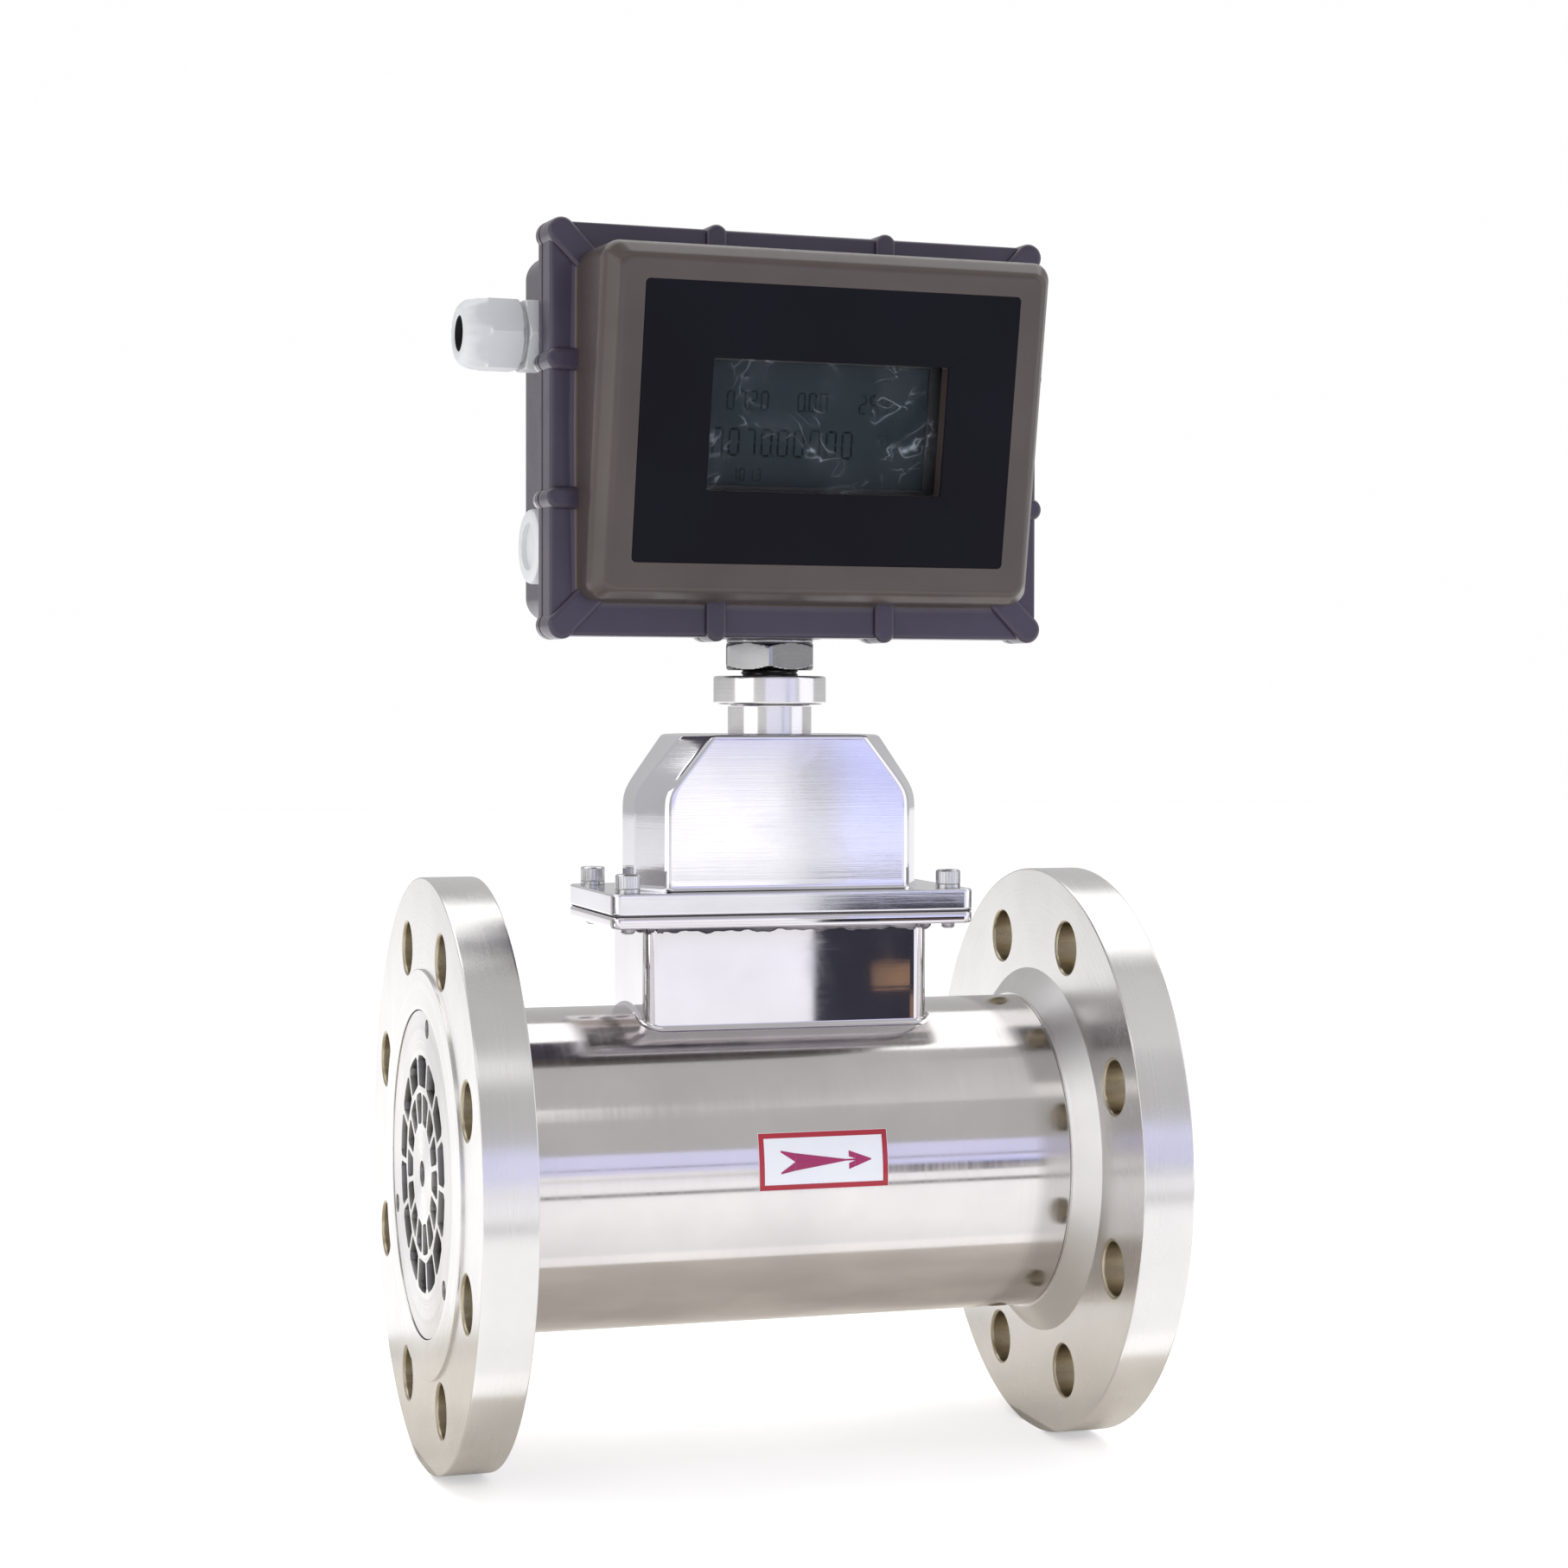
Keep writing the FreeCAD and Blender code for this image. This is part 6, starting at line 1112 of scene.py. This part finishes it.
ground = centred(*SCREEN_HALF, 0.4)
depths = (SCREEN_DEPTH + 0.45, SCREEN_DEPTH)
sheets = [on_face(facing(ground, depth, (0, WINDOW_UP))) for depth in depths]
screen = [headed(skin(sheets, "caps"))]
for row in ROWS:
    screen += digits(*row, SCREEN_DEPTH - 0.02)
piece("lcd_screen", screen, [look_of["screen"], look_of["digits"]])

# %% [markdown]
# ## The flow label
#
# A printed film on the tube shows the way of the flow: a red frame round a white ground with an
# arrow whose tail is long, tapering and forked. The film bends round the tube, so each printed
# shape is a grid of points on it: (x, -r cos a, r sin a), with a counted from the middle.

# %% Flow label
label_low, label_high = mm_box("flow_label")
LABEL_LOW_TURN, LABEL_SWEEP = -2.3, 20.0
LABEL_R = tube_radius + 0.02
LABEL_LONG = float(label_high[0] - label_low[0])
LABEL_TALL = math.radians(LABEL_SWEEP) * tube_radius
FRAME_WIDE, FRAME_EDGE, FILM = 1.9, 0.15, 0.03


def printed(left, right, low_left, high_left, low_right, high_right, rise, number, across=12):
    """A patch between two upright ends, as a thin closed sheet bent round the tube."""
    s = np.linspace(0, 1, 3)[:, None]
    t = np.linspace(0, 1, across)[None, :]
    low = low_left + (low_right - low_left) * s
    high = high_left + (high_right - high_left) * s
    up = low + (high - low) * t
    x = label_low[0] + left + (right - left) * s + 0 * t
    a = math.radians(LABEL_LOW_TURN) + up / tube_radius
    radii = (LABEL_R + rise - FILM, LABEL_R + rise)
    layers = [np.stack([x, -r * np.cos(a), r * np.sin(a)], -1) for r in radii]
    there, back = (np.concatenate([layer[i] for i in range(3)]) for layer in layers)
    faces = []
    for i in range(2):
        for j in range(across - 1):
            k = i * across + j
            quad = [k, k + 1, k + 1 + across, k + across]
            faces += [quad, [corner + 3 * across for corner in quad[::-1]]]
    edge = [(0, j) for j in range(across)] + [(i, across - 1) for i in (1, 2)]
    edge += [(2, j) for j in range(across - 2, -1, -1)] + [(1, 0)]
    line = [i * across + j for i, j in edge]
    for one, two in zip(line, line[1:] + line[:1]):
        faces.append([one, one + 3 * across, two + 3 * across, two])
    return np.concatenate([there, back]), faces, number


W, H, F, E = LABEL_LONG, LABEL_TALL, FRAME_WIDE, FRAME_EDGE
M = H / 2 - 0.3
FRAME_BARS = (
    (E, W - E, E, F, E, F, 4),
    (E, W - E, H - F, H - E, H - F, H - E, 4),
    (E, F, F, H - F, F, H - F, 16),
    (W - F, W - E, F, H - F, F, H - F, 16),
)
ARROW = (
    (7.6, 12.5, 3.3, 3.9, 0.03, 2.9, 6),
    (7.6, 12.5, -3.9, -3.3, -2.9, -0.03, 6),
    (12.54, 30.0, -2.9, 2.9, -0.3, 0.3, 8),
    (30.04, 33.36, -0.3, 0.3, -0.3, 0.3, 4),
    (31.2, 33.36, 1.1, 3.1, 0.34, 2.3, 4),
    (31.2, 33.36, -3.1, -1.1, -2.3, -0.34, 4),
    (33.4, 39.0, -2.3, 2.3, -0.2, 0.2, 8),
)
shapes = [printed(0, W, 0, H, 0, H, 0.05, 0, 24)]
shapes += [printed(*ends, 0.1, 1, across) for *ends, across in FRAME_BARS]
for left, right, *ups, across in ARROW:
    shapes.append(printed(left, right, *(M + up for up in ups), 0.1, 2, across))
looks = [look_of[name] for name in ("label_film", "label_red", "label_magenta")]
piece("flow_label", shapes, looks)

# %% [markdown]
# ## Studio
#
# The flanges stand on a pale floor that fades into a pale background. Polished steel shows its
# surroundings, so these are built with care. Long soft lights run beside the tube at several
# heights and leave grey gaps between them; those become the bright and dark bands along the tube
# and the glow on the hood. A few cards, which only reflections see, darken or tint a band.

# %% Floor, lights and surroundings
FLOOR_HALF = 6.0
CARD_LOOK = (0.8, 0.0, 200.0, 0.05)


def sheet(name, corner, along, up, count, look):
    """A flat grid of faces on the stage: corner + s * along + t * up, for s and t from 0 to 1."""
    s = np.linspace(0, 1, count + 1)
    points = [tuple(np.array(corner) + a * np.array(along) + b * np.array(up)) for a in s for b in s]
    row = count + 1
    firsts = [i * row + j for i in range(count) for j in range(count)]
    mesh = bpy.data.meshes.new(name)
    mesh.from_pydata(points, [], [(k, k + row, k + row + 1, k + 1) for k in firsts])
    mesh.materials.append(look)
    made = bpy.data.objects.new(name, mesh)
    scene.collection.objects.link(made)
    return made


def softbox(name, place, target, size, power, colour=(1, 1, 1)):
    """A rectangular light that the camera doesn't see but polished steel does."""
    light = bpy.data.lights.new(name, "AREA")
    light.shape = "RECTANGLE"
    light.size, light.size_y = size
    light.energy = power
    light.color = colour
    lamp = bpy.data.objects.new(name, light)
    lamp.location = place
    lamp.rotation_mode = "QUATERNION"
    lamp.rotation_quaternion = (Vector(target) - Vector(place)).to_track_quat("-Z", "Y")
    lamp.visible_camera = False
    scene.collection.objects.link(lamp)


def card(name, corner, along, up, colour):
    """A flat card for reflections only: neither the camera nor the shadows see it."""
    made = sheet(name, corner, along, up, 4, coated(name, colour, [c * 0.8 for c in colour], *CARD_LOOK))
    made.visible_camera = made.visible_shadow = made.visible_diffuse = False


floor_z = float(mm_box("inlet_flange")[0][2]) * MM
glow = {"Emission_Color": (1, 1, 1, 1), "Emission_Strength": 0.46}
paper = coated("floor_paper", (0.93, 0.93, 0.935), (0.91, 0.91, 0.915), 0.75, 0.0, 300.0, 0.05, **glow)
corner, side = (-FLOOR_HALF, -FLOOR_HALF, floor_z), 2 * FLOOR_HALF
sheet("floor", corner, (side, 0, 0), (0, side, 0), 12, paper)

world = scene.world = bpy.data.worlds.new("studio")
world.use_nodes = True
shade = world.node_tree.nodes["Background"].inputs
seen = wire(world.node_tree, "LightPath", {})["Is Camera Ray"]
world.node_tree.links.new(spread(world.node_tree, seen, 0.0, 1.0, 0.60, 1.0), shade["Strength"])
shade["Color"].default_value = (1.0, 0.995, 1.0, 1)

middle = (0.12, 0.0, 0.08)
softbox("left_wall", (-1.9, -0.7, 0.55), middle, (1.7, 1.5), 8.2, (1.0, 0.995, 0.99))
softbox("right_wall", (1.9, -0.8, 0.6), middle, (1.4, 1.5), 5.6, (0.84, 0.84, 1.0))
softbox("front_low", (-0.05, -2.3, 0.040), (-0.05, 0.0, 0.040), (1.75, 0.13), 0.43, (1.0, 0.97, 1.0))
softbox("front_high", (0.5, -2.35, 0.395), (0.5, 0.0, 0.395), (3.0, 0.57), 3.4, (0.50, 0.50, 1.0))
softbox("front_right", (1.45, -2.2, 0.055), (1.45, 0.0, 0.055), (1.2, 0.16), 0.32, (0.22, 0.28, 1.0))
softbox("back_strip", (0.15, 0.66, 1.5), (0.15, 0.66, 0.0), (3.0, 1.4), 15.0, (0.99, 0.99, 1.0))
softbox("top_right", (1.4, -0.9, 1.5), (1.4, -0.9, 0.0), (1.3, 1.2), 1.0, (0.98, 0.97, 1.0))
softbox("under_fill", (0.12, 0.03, -0.097), (0.12, 0.03, 0.1), (0.95, 0.26), 0.15, (1.0, 0.95, 0.86))
softbox("top_front", (-0.3, -1.3, 1.5), middle, (1.6, 0.35), 1.5, (1.0, 0.99, 0.98))
card("low_card", (0.502, -1.2, -0.0995), (0.15, 0.0, 0.0), (0.0, 0.0, 0.1215), (0.022, 0.022, 0.040))
card("neck_card", (0.45, -2.15, 0.205), (0.80, 0.0, 0.0), (0.0, 0.0, 0.040), (0.30, 0.30, 0.36))
card("amber_card", (0.545, -1.19, -0.050), (0.055, 0.0, 0.0), (0.0, 0.0, 0.016), (0.34, 0.20, 0.12))
card("amber_edge", (0.600, -1.19, -0.078), (0.045, 0.0, 0.0), (0.0, 0.0, 0.022), (0.28, 0.18, 0.12))
card("floor_line", (-0.6, -0.56, -0.0995), (1.8, 0.0, 0.0), (0.0, 0.10, 0.0), (0.30, 0.29, 0.29))
# A beige card on the floor beneath the meter, seen only in reflections. It is painted shade, standing for the
# floor's shadow under the tube, which the glowing floor does not show.
card("floor_shade_card", (-0.3, -0.085, -0.0995), (0.9, 0.0, 0.0), (0.0, 0.30, 0.0), (0.78, 0.73, 0.66))
scene.view_settings.view_transform = "Standard"
